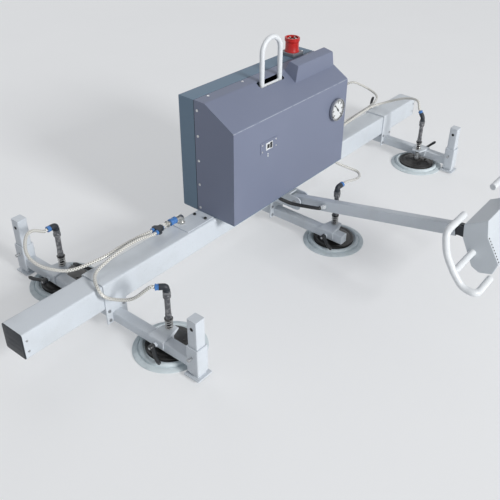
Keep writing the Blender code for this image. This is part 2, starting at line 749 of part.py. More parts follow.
def make_carrier(name, parent, y, side, lever_turn, colours):
    """A sheet channel that rides the arm, with a wing for the stem and a clamp boss."""
    wing = side * (STEM_OFFSET + STEM_EDGE)
    low = CARRIER_TOP - CARRIER_SKIRT
    back = -side * CARRIER_OUTER
    outline = [(wing, CARRIER_UNDER), (wing, CARRIER_TOP)]
    outline += soften([(wing, CARRIER_TOP), (back, CARRIER_TOP), (back, low)], CARRIER_SHEET, False)[1:]
    outline += [
        (-side * CARRIER_INNER, low),
        (-side * CARRIER_INNER, CARRIER_UNDER),
        (side * CARRIER_INNER, CARRIER_UNDER),
        (side * CARRIER_INNER, low),
        (side * CARRIER_OUTER, low),
        (side * CARRIER_OUTER, CARRIER_UNDER),
    ]
    half = CARRIER_LENGTH / 2
    carrier = add(name, prism(outline, -half, half, "y"), colours["light"], parent, (0, y, 0))
    wide = half + CARRIER_SHEET
    plan = [(2 * back, wide), (side * CARRIER_OUTER, wide)]
    plan += soften([(wing, STEM_EDGE), (wing, -STEM_EDGE)], 0.0, False)
    plan += [(side * CARRIER_OUTER, -wide), (2 * back, -wide)]
    plan = plan[:2] + soften([plan[1], plan[2], plan[3], plan[4]], CARRIER_CORNER, False)[1:-1] + plan[4:]
    shape_with(carrier, prism(plan, ARM_BOTTOM, CARRIER_TOP + CARRIER_SHEET), "INTERSECT")
    end = CARRIER_OUTER + BOSS_LENGTH
    near, far = sorted((back + side * GAP, -side * end))
    join(carrier, disc(BOSS_RADIUS, near, far, "x", (0.0, CLAMP_Z)))
    near, far = sorted((-side * (CARRIER_INNER - GAP), -side * (end + GAP)))
    screw_hole = disc(SCREW_RADIUS + ROD_FIT, near, far, "x", (0.0, CLAMP_Z), SMALL_SIDES)
    rod = disc(ROD_RADIUS + ROD_FIT, CARRIER_UNDER - GAP, CARRIER_TOP + GAP, "z", (side * STEM_OFFSET, 0), SMALL_SIDES)
    cut(carrier, merged([screw_hole, rod]))
    turn = math.radians(lever_turn)
    make_lever(
        name.replace("carrier", "carrier_lever"),
        carrier,
        (-side * (end + GAP), 0, CLAMP_Z),
        (-side, 0, 0),
        (0, math.cos(turn), math.sin(turn)),
        CARRIER_LEVER_LENGTH,
        BOSS_LENGTH + CARRIER_SHEET + GAP,
        colours["black"],
    )
    return carrier


def elbow_route(turn, rise):
    """The elbow fitting's centreline from the stem axis, ending at the hose collar's face."""
    turn, rise = math.radians(turn), math.radians(rise)
    heading = Vector((math.cos(turn) * math.cos(rise), math.sin(turn) * math.cos(rise), math.sin(rise)))
    corner = Vector((0, 0, STEM_TOP + ELBOW_HEIGHT))
    return [Vector((0, 0, STEM_TOP - GAP)), corner, corner + heading * ELBOW_REACH], heading


def make_stem(name, carrier, side, elbow, colours):
    """The spring stem: hub, rod, stop collar, flange, sleeve, collar, nut and elbow."""
    stop = CARRIER_UNDER - GAP
    flange = SPRING_BOTTOM + SPRING_HEIGHT + GAP
    sleeve = flange + FLANGE_HEIGHT
    collar = sleeve + STEM_SLEEVE_LENGTH
    profile = [
        (ROD_RADIUS, CUP_HEIGHT + GAP),
        (ROD_RADIUS, stop - STOP_HEIGHT),
        (STOP_RADIUS, stop - STOP_HEIGHT),
        (STOP_RADIUS, stop),
        (ROD_RADIUS, stop),
        (ROD_RADIUS, flange),
        (FLANGE_RADIUS, flange),
        (FLANGE_RADIUS, sleeve),
        (STEM_SLEEVE_RADIUS, sleeve),
        (STEM_SLEEVE_RADIUS, collar),
        (COLLAR_RADIUS, collar),
        (COLLAR_RADIUS, collar + COLLAR_HEIGHT),
    ]
    place = (side * STEM_OFFSET, 0, 0)
    stem = add(name, turned(profile, SMALL_SIDES), colours["dark"], carrier, place)
    nut = disc(NUT_ACROSS / 2, collar + COLLAR_HEIGHT - GAP, STEM_TOP, "z", sides=6)
    join(stem, nut)
    route, heading = elbow_route(*elbow)
    pipe = sweep(soften(route, ELBOW_BEND, False, BEND_STEPS), ELBOW_RADIUS)
    tip = route[-1] - heading * GAP
    join(stem, pipe, sweep([tip, route[-1] + heading * ELBOW_COLLAR], ELBOW_COLLAR_RADIUS))
    return stem


def make_cup(name, stem, colours):
    """A round suction cup: pale rubber lip and bead round a pressed disc with a hub."""
    hub_top = CUP_HEIGHT
    profile = [
        (CUP_RADIUS - LIP_WIDTH, CUP_HOLLOW),
        (CUP_RADIUS - LIP_WIDTH * 0.4, 0.0),
        (CUP_RADIUS, 0.0),
        (CUP_RADIUS, LIP_EDGE),
        (BEAD_RADIUS + BEAD_WIDTH / 2, LIP_HEIGHT + CUP_HOLLOW),
        (BEAD_RADIUS, LIP_HEIGHT + 2 * CUP_HOLLOW),
        (BEAD_RADIUS - BEAD_WIDTH / 2, DISC_GROOVE_HEIGHT),
        (BEAD_RADIUS - BEAD_WIDTH, DISC_EDGE_HEIGHT),
        (CUP_HUB_RADIUS, DISC_HEIGHT),
        (CUP_HUB_RADIUS, hub_top),
    ]
    return add(name, turned(profile, CUP_SIDES), colours["rubber"], stem)


def make_spring(name, carrier, side, colours):
    """A coil spring that stands on the carrier and carries the stem's flange."""
    turns = [k / COIL_STEPS for k in range(SPRING_TURNS * COIL_STEPS + 1)]
    climb = (SPRING_HEIGHT - 2 * WIRE_RADIUS) / SPRING_TURNS
    reach = SPRING_RADIUS
    route = [
        (reach * math.cos(2 * math.pi * t), reach * math.sin(2 * math.pi * t), WIRE_RADIUS + climb * t)
        for t in turns
    ]
    place = (side * STEM_OFFSET, 0, SPRING_BOTTOM)
    return add(name, sweep(route, WIRE_RADIUS, COIL_SIDES), colours["steel"], carrier, place)


def make_manifold(root, colours):
    """The base plate with both outlets: bent pipe, stop rings, branch piece and hose collars."""
    half = PLATE_HALF_LENGTH
    width = PLATE_WIDTH / 2
    outline = rectangle(HOUSING_X - half, HOUSING_X + half, -width, width, ARM_CORNER)
    plate = add("manifold_plate", prism(outline, PLATE_BOTTOM, PLATE_TOP), colours["light"], root)
    heads = []
    for side in (-1, 1):
        for reach, y in PLATE_BOLTS:
            x = HOUSING_X + side * (half - reach)
            heads.append(disc(BOLT_RADIUS, PLATE_TOP - GAP, PLATE_TOP + BOLT_RADIUS, "z", (x, y), SMALL_SIDES))
    join(plate, merged(heads))
    for side in (-1, 1):
        start = HOUSING_X + side * (half - ELBOW_FROM_PLATE_END)
        route = [
            (start, PIPE_Y, PLATE_TOP - GAP),
            (start, PIPE_Y, PIPE_Z),
            (start + side * PIPE_LENGTH, PIPE_Y, PIPE_Z),
        ]
        join(plate, sweep(soften(route, 2 * PIPE_RADIUS, False, BEND_STEPS), PIPE_RADIUS, ROUND_SIDES))
        rings = []
        inner = VALVE_START - GAP
        outer = VALVE_START + VALVE_LENGTH + VALVE_TRAVEL + GAP
        for low, high in ((inner - STOP_RING, inner), (outer, outer + STOP_RING)):
            near, far = sorted((start + side * low, start + side * high))
            rings.append(disc(VALVE_RADIUS, near, far, "x", (PIPE_Y, PIPE_Z)))
        join(plate, merged(rings))
        body = start + side * (PIPE_LENGTH - GAP)
        end = body + side * WYE_LENGTH
        mouth = WYE_HEIGHT / 2
        plan = [
            (body, PIPE_Y - mouth),
            (body + side * WYE_NECK, PIPE_Y - mouth),
            (body + side * WYE_SHOULDER, PIPE_Y - WYE_WIDTH / 2),
            (end, PIPE_Y - WYE_WIDTH / 2),
            (end, PIPE_Y + WYE_WIDTH / 2),
            (body + side * WYE_SHOULDER, PIPE_Y + WYE_WIDTH / 2),
            (body + side * WYE_NECK, PIPE_Y + mouth),
            (body, PIPE_Y + mouth),
        ]
        join(plate, prism(plan, PIPE_Z - mouth, PIPE_Z + mouth))
        near, far = sorted((end - side * GAP, end + side * HOSE_COLLAR_LENGTH))
        spots = [(PIPE_Y + sign * HOSE_SPACING / 2, PIPE_Z) for sign in (-1, 1)]
        join(plate, merged([disc(HOSE_COLLAR_RADIUS, near, far, "x", spot) for spot in spots]))


def make_valve_sleeve(name, side, root, colours):
    """The hand slide valve: a grooved ring that slides along the outlet pipe."""
    start = HOUSING_X + side * (PLATE_HALF_LENGTH - ELBOW_FROM_PLATE_END + VALVE_START)
    bore = PIPE_RADIUS + SLIDE_FIT
    low, high = VALVE_BAND, VALVE_LENGTH - VALVE_BAND
    profile = [
        (bore, 0.0),
        (VALVE_RADIUS, 0.0),
        (VALVE_RADIUS, low),
        (VALVE_GROOVE_RADIUS, low + VALVE_GROOVE_TAPER),
        (VALVE_GROOVE_RADIUS, high - VALVE_GROOVE_TAPER),
        (VALVE_RADIUS, high),
        (VALVE_RADIUS, VALVE_LENGTH),
        (bore, VALVE_LENGTH),
    ]
    sleeve = add(name, turned(profile, loop=True), colours["blue"], root, (start, PIPE_Y, PIPE_Z))
    sleeve.rotation_euler = turn_to((side, 0, 0), (0, 1, 0))


def slope_z(y):
    """The height of the cover's slope at this Y."""
    share = (y - SLOPE_START) / (HOUSING_FRONT - SLOPE_START)
    return HOUSING_TOP + (SHOULDER_Z - HOUSING_TOP) * share


def make_housing(root, colours):
    """The rear box with its floor pan, and the folded cover with slot, hood and switch plate."""
    left = HOUSING_X - HOUSING_LENGTH / 2
    right = HOUSING_X + HOUSING_LENGTH / 2
    joint = HOUSING_JOINT
    pan_top = HOUSING_BOTTOM + HOUSING_SHEET
    box = rectangle(joint, HOUSING_REAR, HOUSING_BOTTOM, HOUSING_TOP, HOUSING_SHEET)
    rear = add("housing_rear", prism(box, left, right, "x"), colours["box"], root)
    sheet = HOUSING_SHEET
    room = rectangle(joint - sheet, HOUSING_REAR - sheet, pan_top, HOUSING_TOP - sheet)
    cut(rear, prism(room, left + sheet, right - sheet, "x"))
    pan = rectangle(HOUSING_FRONT, joint + 2 * sheet, HOUSING_BOTTOM, pan_top)
    join(rear, prism(pan, left, right, "x"))
    legs = [EYE_X - EYE_SPAN / 2, EYE_X + EYE_SPAN / 2]
    low, high = HOUSING_BOTTOM - GAP, pan_top + GAP
    hole = EYE_RADIUS + SLIDE_FIT
    cut(rear, merged([disc(hole, low, high, "z", (x, EYE_Y)) for x in legs]))

    foot = pan_top + GAP
    back = joint - GAP
    fold = [(HOUSING_FRONT, foot), (HOUSING_FRONT, SHOULDER_Z), (SLOPE_START, HOUSING_TOP), (back, HOUSING_TOP)]
    outline = [(back, foot), *soften(fold, COVER_BEND, False, BEND_STEPS)]
    cover = add("housing_cover", prism(outline, left, right, "x"), colours["cover"], root)
    fold = [
        (HOUSING_FRONT + sheet, foot - sheet),
        (HOUSING_FRONT + sheet, SHOULDER_Z - sheet / 2),
        (SLOPE_START - sheet / 2, HOUSING_TOP - sheet),
        (joint + sheet, HOUSING_TOP - sheet),
    ]
    inside = [(joint + sheet, foot - sheet), *soften(fold, COVER_BEND, False, BEND_STEPS)]
    cut(cover, prism(inside, left + sheet, right - sheet, "x"))
    reach = EYE_RADIUS + SLOT_MARGIN
    slot = rectangle(legs[0] - reach, legs[1] + reach, EYE_Y - reach, EYE_Y + reach, reach / 2)
    cut(cover, prism(slot, SHOULDER_Z, HOUSING_TOP + sheet))
    hood_top = HOUSING_TOP + HOOD_HEIGHT
    hood = [
        (HOOD_FRONT, slope_z(HOOD_FRONT) - sheet / 2),
        (HOOD_FRONT, hood_top - HOOD_LIP),
        (HOOD_RIDGE, hood_top),
        (HOOD_BACK, slope_z(HOOD_BACK) - sheet / 2),
    ]
    join(cover, prism(hood, HOOD_LEFT, HOOD_RIGHT, "x"))
    z = HOUSING_BOTTOM + SWITCH_Z
    half = SWITCH_PLATE_WIDTH / 2
    tall = SWITCH_PLATE_HEIGHT / 2
    face = HOUSING_FRONT
    plate = rectangle(SWITCH_X - half, SWITCH_X + half, z - tall, z + tall, sheet * 2)
    wide = SWITCH_WINDOW_WIDTH / 2
    open_z = SWITCH_WINDOW_HEIGHT / 2
    frame = rectangle(SWITCH_X - wide, SWITCH_X + wide, z - open_z, z + open_z)
    join(cover, prism(plate, face - sheet, face + sheet / 2, "y"))
    cut(cover, prism(frame, face - 2 * sheet, face - sheet / 2, "y"))
    side_screws = [(joint - COVER_SCREW_EDGE, HOUSING_BOTTOM + share * HOUSING_HEIGHT) for share in SCREW_ROWS]
    low, high = left - COVER_SCREW_HEIGHT, right + COVER_SCREW_HEIGHT
    heads = [disc(COVER_SCREW_RADIUS, low, left + GAP, "x", spot, SMALL_SIDES) for spot in side_screws]
    heads += [disc(COVER_SCREW_RADIUS, right - GAP, high, "x", spot, SMALL_SIDES) for spot in side_screws]
    for share in SCREW_ROWS:
        spot = (left + share * HOUSING_LENGTH, joint - COVER_SCREW_EDGE)
        top = HOUSING_TOP + COVER_SCREW_HEIGHT
        heads.append(disc(COVER_SCREW_RADIUS, HOUSING_TOP - GAP, top, "z", spot, SMALL_SIDES))
    join(cover, merged(heads))


def make_lifting_eye(root, colours):
    """The bent round bar that hangs on the hoist, welded to a light bar in the slot."""
    left = EYE_X - EYE_SPAN / 2
    right = EYE_X + EYE_SPAN / 2
    foot = PLATE_TOP + GAP
    top = HOUSING_TOP + EYE_TOP - EYE_RADIUS
    bend = EYE_SPAN / 2
    turns = [math.pi * k / ARCH_STEPS for k in range(ARCH_STEPS + 1)]
    arch = [(EYE_X - bend * math.cos(t), EYE_Y, top - bend + bend * math.sin(t)) for t in turns]
    route = [(left, EYE_Y, foot), *arch, (right, EYE_Y, foot)]
    eye = add("lifting_eye", sweep(route, EYE_RADIUS, ROUND_SIDES), colours["light"], root)
    z = slope_z(EYE_Y) - EYE_RADIUS
    join(eye, disc(EYE_CROSSBAR, left, right, "x", (EYE_Y, z), SMALL_SIDES))


def make_inlet(root, colours):
    """The power inlet: a square base, an angled red shell with a deep socket and its pins."""
    y = (HOUSING_JOINT + HOUSING_REAR) / 2
    half = INLET_BASE / 2
    place = (INLET_X, y, HOUSING_TOP + GAP)
    base = prism(rectangle(-half, half, -half, half, 2 * ARM_CORNER), 0.0, INLET_BASE_HEIGHT)
    inlet = add("power_inlet", base, colours["red"], root, place)
    top = INLET_BASE_HEIGHT + INLET_HEIGHT
    shell = [
        (INLET_BODY_RADIUS, INLET_BASE_HEIGHT - GAP),
        (INLET_BODY_RADIUS, top - INLET_COLLAR_HEIGHT),
        (INLET_RADIUS, top - INLET_COLLAR_HEIGHT + INLET_COLLAR_TAPER),
        (INLET_RADIUS, top),
    ]
    join(inlet, turned(shell, CUP_SIDES))
    mouth = INLET_BODY_RADIUS - INLET_WALL
    cut(inlet, disc(mouth, top - INLET_DEPTH, top + GAP, sides=CUP_SIDES))
    pins = []
    for k in range(INLET_PINS):
        turn = 2 * math.pi * k / INLET_PINS
        spot = (PIN_CIRCLE * math.cos(turn), PIN_CIRCLE * math.sin(turn))
        pins.append(disc(PIN_RADIUS, top - INLET_DEPTH - GAP, top - INLET_DEPTH / 2, "z", spot, SMALL_SIDES))
    join(inlet, merged(pins))


def make_gauge(root, colours):
    """The vacuum gauge with a recessed dial, its spindle, and the needle that turns on it."""
    place = (GAUGE_X, HOUSING_FRONT - GAP, HOUSING_BOTTOM + GAUGE_Z)
    dial = GAUGE_DEPTH - GAUGE_RIM
    well = GAUGE_RADIUS - GAUGE_RIM
    case = [
        (GAUGE_BACK_RADIUS, 0.0),
        (GAUGE_RADIUS, GAUGE_RIM / 2),
        (GAUGE_RADIUS, GAUGE_DEPTH - GAUGE_RIM / 2),
        (GAUGE_FRONT_RADIUS, GAUGE_DEPTH),
        (well, GAUGE_DEPTH),
        (well, dial),
        (PIN_RADIUS / 2, dial),
        (PIN_RADIUS / 2, GAUGE_DEPTH - GAUGE_RIM / 3),
    ]
    outward = turn_to((0, -1, 0), (1, 0, 0))
    gauge = add("gauge", turned(case, CUP_SIDES), colours["black"], root, place)
    gauge.rotation_euler = outward
    hub = disc(PIN_RADIUS, 0.0, GAUGE_RIM / 3)
    needle = add("gauge_needle", hub, colours["red"], gauge, (0, 0, dial + GAP))
    blade = [(-PIN_RADIUS / 2, -NEEDLE_LENGTH / 3), (PIN_RADIUS / 2, -NEEDLE_LENGTH / 3)]
    blade += [(PIN_RADIUS / 4, NEEDLE_LENGTH), (-PIN_RADIUS / 4, NEEDLE_LENGTH)]
    join(needle, prism(blade, GAUGE_RIM / 12, GAUGE_RIM / 4))
    cut(needle, disc(PIN_RADIUS / 2 + ROD_FIT, -GAP, GAUGE_RIM, sides=SMALL_SIDES))
    needle.rotation_euler = (0, 0, math.radians(NEEDLE_TURN))


def make_control_arm(root, colours):
    """The square arm with pivot pin, spacers, tongue for the console and cable gland."""
    place = (0, BRACKET_PIVOT_Y, BRACKET_PIVOT_Z)
    half = CONTROL_ARM_WIDTH / 2
    tall = CONTROL_ARM_HEIGHT / 2
    wall = CONTROL_ARM_WALL
    outside = rectangle(-half, half, -tall, tall, wall)
    inside = rectangle(wall - half, half - wall, wall - tall, tall - wall, wall / 2)
    tube = hollow_prism(outside, inside, -CONTROL_ARM_LENGTH, ARM_TAIL, "y")
    arm = add("control_arm", tube, colours["light"], root, place)
    arm.rotation_euler = (-math.radians(CONTROL_ARM_RISE), 0, 0)
    outer = half + BRACKET_SPACER + BRACKET_CHEEK
    join(arm, disc(2 * PIVOT_RADIUS, -half - BRACKET_SPACER + SLIDE_FIT, half + BRACKET_SPACER - SLIDE_FIT, "x"))
    join(arm, disc(PIVOT_RADIUS, -outer - BOLT_HEIGHT, outer + BOLT_HEIGHT, "x"))
    heads = []
    for near, far in ((-outer - BOLT_HEIGHT, -outer - GAP), (outer + GAP, outer + BOLT_HEIGHT)):
        heads.append(disc(PIVOT_HEAD_RADIUS, near, far, "x", sides=6))
    join(arm, merged(heads))
    tongue = TONGUE_WIDTH / 2
    end = -TILT_ALONG
    round_end = KNUCKLE_LENGTH / 2 - SLIDE_FIT
    plug_end = -CONTROL_ARM_LENGTH + round_end
    plan = rectangle(plug_end, -CONTROL_ARM_LENGTH - GAP, -tall, tall)
    join(arm, prism(plan, -half + wall / 2, half - wall / 2, "x"))
    eye = soften(
        [(plug_end, -round_end), (end - round_end, -round_end), (end - round_end, round_end), (plug_end, round_end)],
        TONGUE_BEND,
    )
    join(arm, prism(eye, -tongue, tongue, "x"))
    join(arm, disc(TILT_PIN_RADIUS, -half - GAP, half + GAP, "x", (end, 0)))
    gland = [(-half + GAP, -GLAND_ALONG, 0), (-half - GLAND_REACH, -GLAND_ALONG + GLAND_REACH, 0)]
    join(arm, sweep(gland, GLAND_RADIUS))
    return arm


def make_console(arm, colours):
    """The console between its two bent handles, with the fork that tilts on the arm's tongue."""
    outline = soften(BOX_OUTLINE, BOX_CORNER)
    body = prism(outline, -BOX_HALF_WIDTH, BOX_HALF_WIDTH, "x")
    box = add("control_box", body, colours["box"], arm, (0, -TILT_ALONG, 0))
    box.rotation_euler = (math.radians(CONTROL_ARM_RISE), 0, 0)
    near = KNUCKLE_LENGTH / 2 - BOX_CORNER
    tall = KNUCKLE_LENGTH / 2 - ARM_CORNER
    rear = [(-FORK_REACH, -tall), (near, -tall), (near, tall), (-FORK_REACH, tall)]
    half = CONTROL_ARM_WIDTH / 2
    join(box, prism(soften(rear, FORK_BEND, False), -half, half, "x"))
    slot = TONGUE_WIDTH / 2 + SLIDE_FIT
    mouth = rectangle(-FORK_SLOT, KNUCKLE_LENGTH, -KNUCKLE_LENGTH, KNUCKLE_LENGTH)
    cut(box, prism(mouth, -slot, slot, "x"))
    cut(box, disc(TILT_PIN_RADIUS + ROD_FIT, -half - GAP, half + GAP, "x"))
    for side in (-1, 1):
        far = side * HANDLE_OFFSET
        route = [(side * HANDLE_INNER, *HANDLE_TOP), (far, *HANDLE_TOP)]
        route += [(far, *point) for point in HANDLE_GRIP]
        route += [(far, *HANDLE_FOOT), (side * HANDLE_INNER * HANDLE_TAIL, *HANDLE_FOOT)]
        bar = sweep(soften(route, HANDLE_BEND, False, BEND_STEPS), HANDLE_RADIUS, ROUND_SIDES)
        inner = side * (BOX_HALF_WIDTH - ARM_CORNER)
        stub = sweep([(inner, *STUB_AT), (far, *STUB_AT)], HANDLE_RADIUS, ROUND_SIDES)
        join(box, stub, bar)
    top, foot = Vector(PANEL_TOP), Vector(PANEL_FOOT)
    middle = (top + foot) / 2
    down = (foot - top).normalized()
    outward = Vector((0, down.y, -down.x))
    place = Vector((BUTTON_X, *middle))
    turn = turn_to(outward, (1, 0, 0))
    depth = BUTTON_HEIGHT + BUTTON_TRAVEL
    pocket = disc(BUTTON_RADIUS + SLIDE_FIT, -depth - GAP, GAP)
    pocket.transform(Matrix.Translation(place) @ turn.to_matrix().to_4x4())
    cut(box, pocket)
    head = [
        (BUTTON_RADIUS, -BUTTON_HEIGHT),
        (BUTTON_RADIUS, BUTTON_EDGE),
        (BUTTON_TOP_RADIUS, BUTTON_HEIGHT),
    ]
    button = add("panel_button", turned(head), colours["black"], box, place)
    button.rotation_euler = turn
    return box


def hose_between(name, start, heading, points, finish, approach, colours, root):
    """A hose from an elbow through hand-chosen points to a collar."""
    lead = 3 * HOSE_RADIUS
    route = [start + heading * GAP, start + heading * lead]
    route += [Vector(point) for point in points]
    route += [finish + approach * lead, finish + approach * GAP]
    return hose(name, route, HOSE_RADIUS, colours["hose"], root)


def make_station(place, bar, y, side, lever_turn, elbow, colours):
    """One cup unit: carrier with clamp lever, stem, cup and spring. Returns the elbow's end."""
    carrier = make_carrier(f"carrier_{place}", bar, y, side, lever_turn, colours)
    stem = make_stem(f"stem_{place}", carrier, side, elbow, colours)
    make_cup(f"cup_{place}", stem, colours)
    make_spring(f"spring_{place}", carrier, side, colours)
    route, heading = elbow_route(*elbow)
    base = bar.location + Vector((side * STEM_OFFSET, y, 0))
    return base + route[-1] + heading * ELBOW_COLLAR, heading


def make_hoses(ends, arm, root, colours):
    run = PLATE_HALF_LENGTH - ELBOW_FROM_PLATE_END + PIPE_LENGTH + WYE_LENGTH + HOSE_COLLAR_LENGTH
    for place, points in HOSE_POINTS.items():
        start, heading = ends[place]
        if place == "front_middle":
            finish = Vector((HOSE_INLET[0], HOSE_INLET[1], HOUSING_BOTTOM))
            approach = Vector((0, 0, -1))
        else:
            side = -1 if place.endswith("left") else 1
            row = -1 if place.startswith("front") else 1
            y = PIPE_Y + row * HOSE_SPACING / 2
            finish = Vector((HOUSING_X + side * run, y, PIPE_Z))
            approach = Vector((side, 0, 0))
        hose_between(f"hose_{place}", start, heading, points, finish, approach, colours, root)
    half = CONTROL_ARM_WIDTH / 2
    reach = GLAND_REACH
    turn = Matrix.Rotation(-math.radians(CONTROL_ARM_RISE), 3, "X")
    tip = arm.location + turn @ Vector((-half - reach, -GLAND_ALONG + reach, 0))
    away = turn @ Vector((-1, 1, 0)).normalized()
    start = Vector((*CABLE_OUTLET, HOUSING_BOTTOM))
    lead = 2 * CABLE_RADIUS
    down = Vector((0, 0, -1))
    route = [start + down * GAP, start + down * lead, *CABLE_POINTS, tip + away * lead, tip + away * GAP]
    hose("control_cable", route, CABLE_RADIUS, colours["black"], root)


def main():
    clear_scene()
    colours = {
        "light": paint("light_coat", (0.66, 0.70, 0.71), 0.40),
        "cover": paint("blue_grey_coat", (0.20, 0.21, 0.27), 0.45),
        "box": paint("grey_coat", (0.35, 0.40, 0.44), 0.45),
        "dark": paint("stem_steel", (0.12, 0.12, 0.13), 0.35, 0.8),
        "steel": paint("spring_steel", (0.30, 0.30, 0.31), 0.30, 1.0),
        "black": paint("black_plastic", (0.03, 0.03, 0.035), 0.50),
        "rubber": paint("pale_rubber", (0.45, 0.52, 0.52), 0.60),
        "blue": paint("blue_plastic", (0.05, 0.16, 0.42), 0.40),
        "red": paint("red_plastic", (0.55, 0.02, 0.02), 0.40),
        "hose": paint("clear_hose", (0.58, 0.55, 0.45), 0.30),
    }
    root = bpy.data.objects.new("lifter", None)
    bpy.context.scene.collection.objects.link(root)
    front = BRACKET_PIVOT_Y - TILT_ALONG * math.cos(math.radians(CONTROL_ARM_RISE))
    front += HANDLE_FOOT[0] - HANDLE_RADIUS
    rear = REAR_REACH + FOOT_SIZE / 2
    root.location.y = -(front + rear) / 2
    make_beam(root, colours)
    bars = {
        "left": make_sliding_crossbar("left", LEFT_SADDLE_X, root, colours),
        "middle": make_middle_crossbar(root, colours),
        "right": make_sliding_crossbar("right", RIGHT_SADDLE_X, root, colours),
    }
    for side in ("left", "right"):
        make_leg(f"leg_front_{side}", bars[side], -FRONT_REACH, colours)
        make_leg(f"leg_rear_{side}", bars[side], REAR_REACH, colours)
    ends = {}
    for place, (y, side, lever_turn, elbow) in STATIONS.items():
        bar = bars[place.split("_")[1]]
        ends[place] = make_station(place, bar, y, side, lever_turn, elbow, colours)
    make_manifold(root, colours)
    make_valve_sleeve("valve_sleeve_left", -1, root, colours)
    make_valve_sleeve("valve_sleeve_right", 1, root, colours)
    make_housing(root, colours)
    make_lifting_eye(root, colours)
    make_inlet(root, colours)
    make_gauge(root, colours)
    arm = make_control_arm(root, colours)
    make_console(arm, colours)
    make_hoses(ends, arm, root, colours)


main()
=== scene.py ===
import math

import bmesh
import bpy
from mathutils import Matrix, Vector


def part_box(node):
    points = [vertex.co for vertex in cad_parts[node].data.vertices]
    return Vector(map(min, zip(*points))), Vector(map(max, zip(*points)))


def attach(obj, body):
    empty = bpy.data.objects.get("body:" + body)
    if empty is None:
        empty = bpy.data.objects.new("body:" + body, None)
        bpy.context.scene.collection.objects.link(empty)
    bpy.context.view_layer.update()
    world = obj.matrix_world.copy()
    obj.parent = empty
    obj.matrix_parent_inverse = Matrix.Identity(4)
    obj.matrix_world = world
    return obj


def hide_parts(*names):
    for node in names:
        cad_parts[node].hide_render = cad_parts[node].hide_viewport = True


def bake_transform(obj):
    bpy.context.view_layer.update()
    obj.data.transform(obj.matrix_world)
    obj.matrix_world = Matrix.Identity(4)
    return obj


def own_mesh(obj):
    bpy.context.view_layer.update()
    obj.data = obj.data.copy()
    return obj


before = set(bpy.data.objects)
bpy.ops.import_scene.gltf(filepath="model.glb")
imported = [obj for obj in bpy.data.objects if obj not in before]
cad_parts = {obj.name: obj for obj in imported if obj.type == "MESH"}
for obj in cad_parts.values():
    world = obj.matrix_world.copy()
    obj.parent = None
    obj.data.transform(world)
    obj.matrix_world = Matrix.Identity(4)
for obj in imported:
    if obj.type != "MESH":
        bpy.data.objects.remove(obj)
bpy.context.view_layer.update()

# The machine as a whole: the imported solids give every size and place, and the centreline of the
# main beam is what all cross pieces are set out from.
beam_low, beam_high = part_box("main_beam")
beam_y = (beam_low.y + beam_high.y) / 2


# The photographer stands to the left of the operator's side, above the machine, and the picture is
# turned a little. The frame is cut off centre, which the lens shift follows.
def put(name, data):
    """A new object with this data, in the scene."""
    item = bpy.data.objects.new(name, data)
    bpy.context.scene.collection.objects.link(item)
    return item


lens = bpy.data.cameras.new("camera")
lens.sensor_width, lens.lens = 36.0, 49.16
lens.shift_x, lens.shift_y = -0.104, -0.046
lens.clip_start, lens.clip_end = 0.05, 100.0
camera = put("camera", lens)
bpy.context.scene.camera = camera
swing, height, roll = math.radians(-55.716), math.radians(32.924), math.radians(3.217)
back = Vector((math.sin(swing) * math.cos(height), -math.cos(swing) * math.cos(height), math.sin(height)))
level = Vector((0, 0, 1)).cross(back).normalized()
upward = back.cross(level)
right = level * math.cos(roll) + upward * math.sin(roll)
top = upward * math.cos(roll) - level * math.sin(roll)
stand = Matrix.Translation((-2.061, beam_y - 1.6011, 1.6431))
camera.matrix_world = stand @ Matrix((right, top, back)).transposed().to_4x4()


# Light grey powder coat on all the steelwork: beam, crossbars, carriers, legs and arm. It is smooth
# with a faint orange peel, a little dust, and slightly uneven gloss.
def srgb(red, green, blue):
    """A colour as it is seen, from 0 to 255, as the shader's own linear numbers."""
    shares = [channel / 255 for channel in (red, green, blue)]
    linear = [c / 12.92 if c <= 0.04045 else ((c + 0.055) / 1.055) ** 2.4 for c in shares]
    return (*linear, 1.0)


class Field:
    """A value that changes over a surface; sums and products of fields add the Math nodes."""

    def __init__(self, shading, socket):
        self.shading = shading
        self.socket = socket

    def math(self, operation, other=0.0, swapped=False):
        pair = (other, self) if swapped else (self, other)
        return self.shading.node("ShaderNodeMath", {"operation": operation}, dict(enumerate(pair)))

    def __add__(self, other):
        return self.math("ADD", other)

    def __sub__(self, other):
        return self.math("SUBTRACT", other)

    def __rsub__(self, other):
        return self.math("SUBTRACT", other, swapped=True)

    def __mul__(self, other):
        return self.math("MULTIPLY", other)

    __radd__, __rmul__ = __add__, __mul__

    def above(self, low, high):
        """0 below low, 1 above high, and a smooth step between them."""
        ends = {"Value": self, "From Min": low, "From Max": high}
        return self.shading.node("ShaderNodeMapRange", {"interpolation_type": "SMOOTHSTEP"}, ends)


class Shading:
    """The nodes of one material, or of the world."""

    def __init__(self, tree):
        self.tree = tree

    def link(self, socket, value):
        if isinstance(value, Field):
            self.tree.links.new(value.socket, socket)
        else:
            socket.default_value = value

    def node(self, kind, settings=(), inputs=(), output=0):
        made = self.tree.nodes.new(kind)
        for name, value in dict(settings).items():
            setattr(made, name, value)
        for name, value in dict(inputs).items():
            self.link(made.inputs[name], value)
        return Field(self, made.outputs[output])

    def seen(self):
        """1 for what is seen directly, in metal or through glass, and 0 for light on the object."""
        kinds = ("Is Camera Ray", "Is Glossy Ray", "Is Transmission Ray")
        direct, mirrored, through = (self.node("ShaderNodeLightPath", output=kind) for kind in kinds)
        return direct.math("MAXIMUM", mirrored).math("MAXIMUM", through)


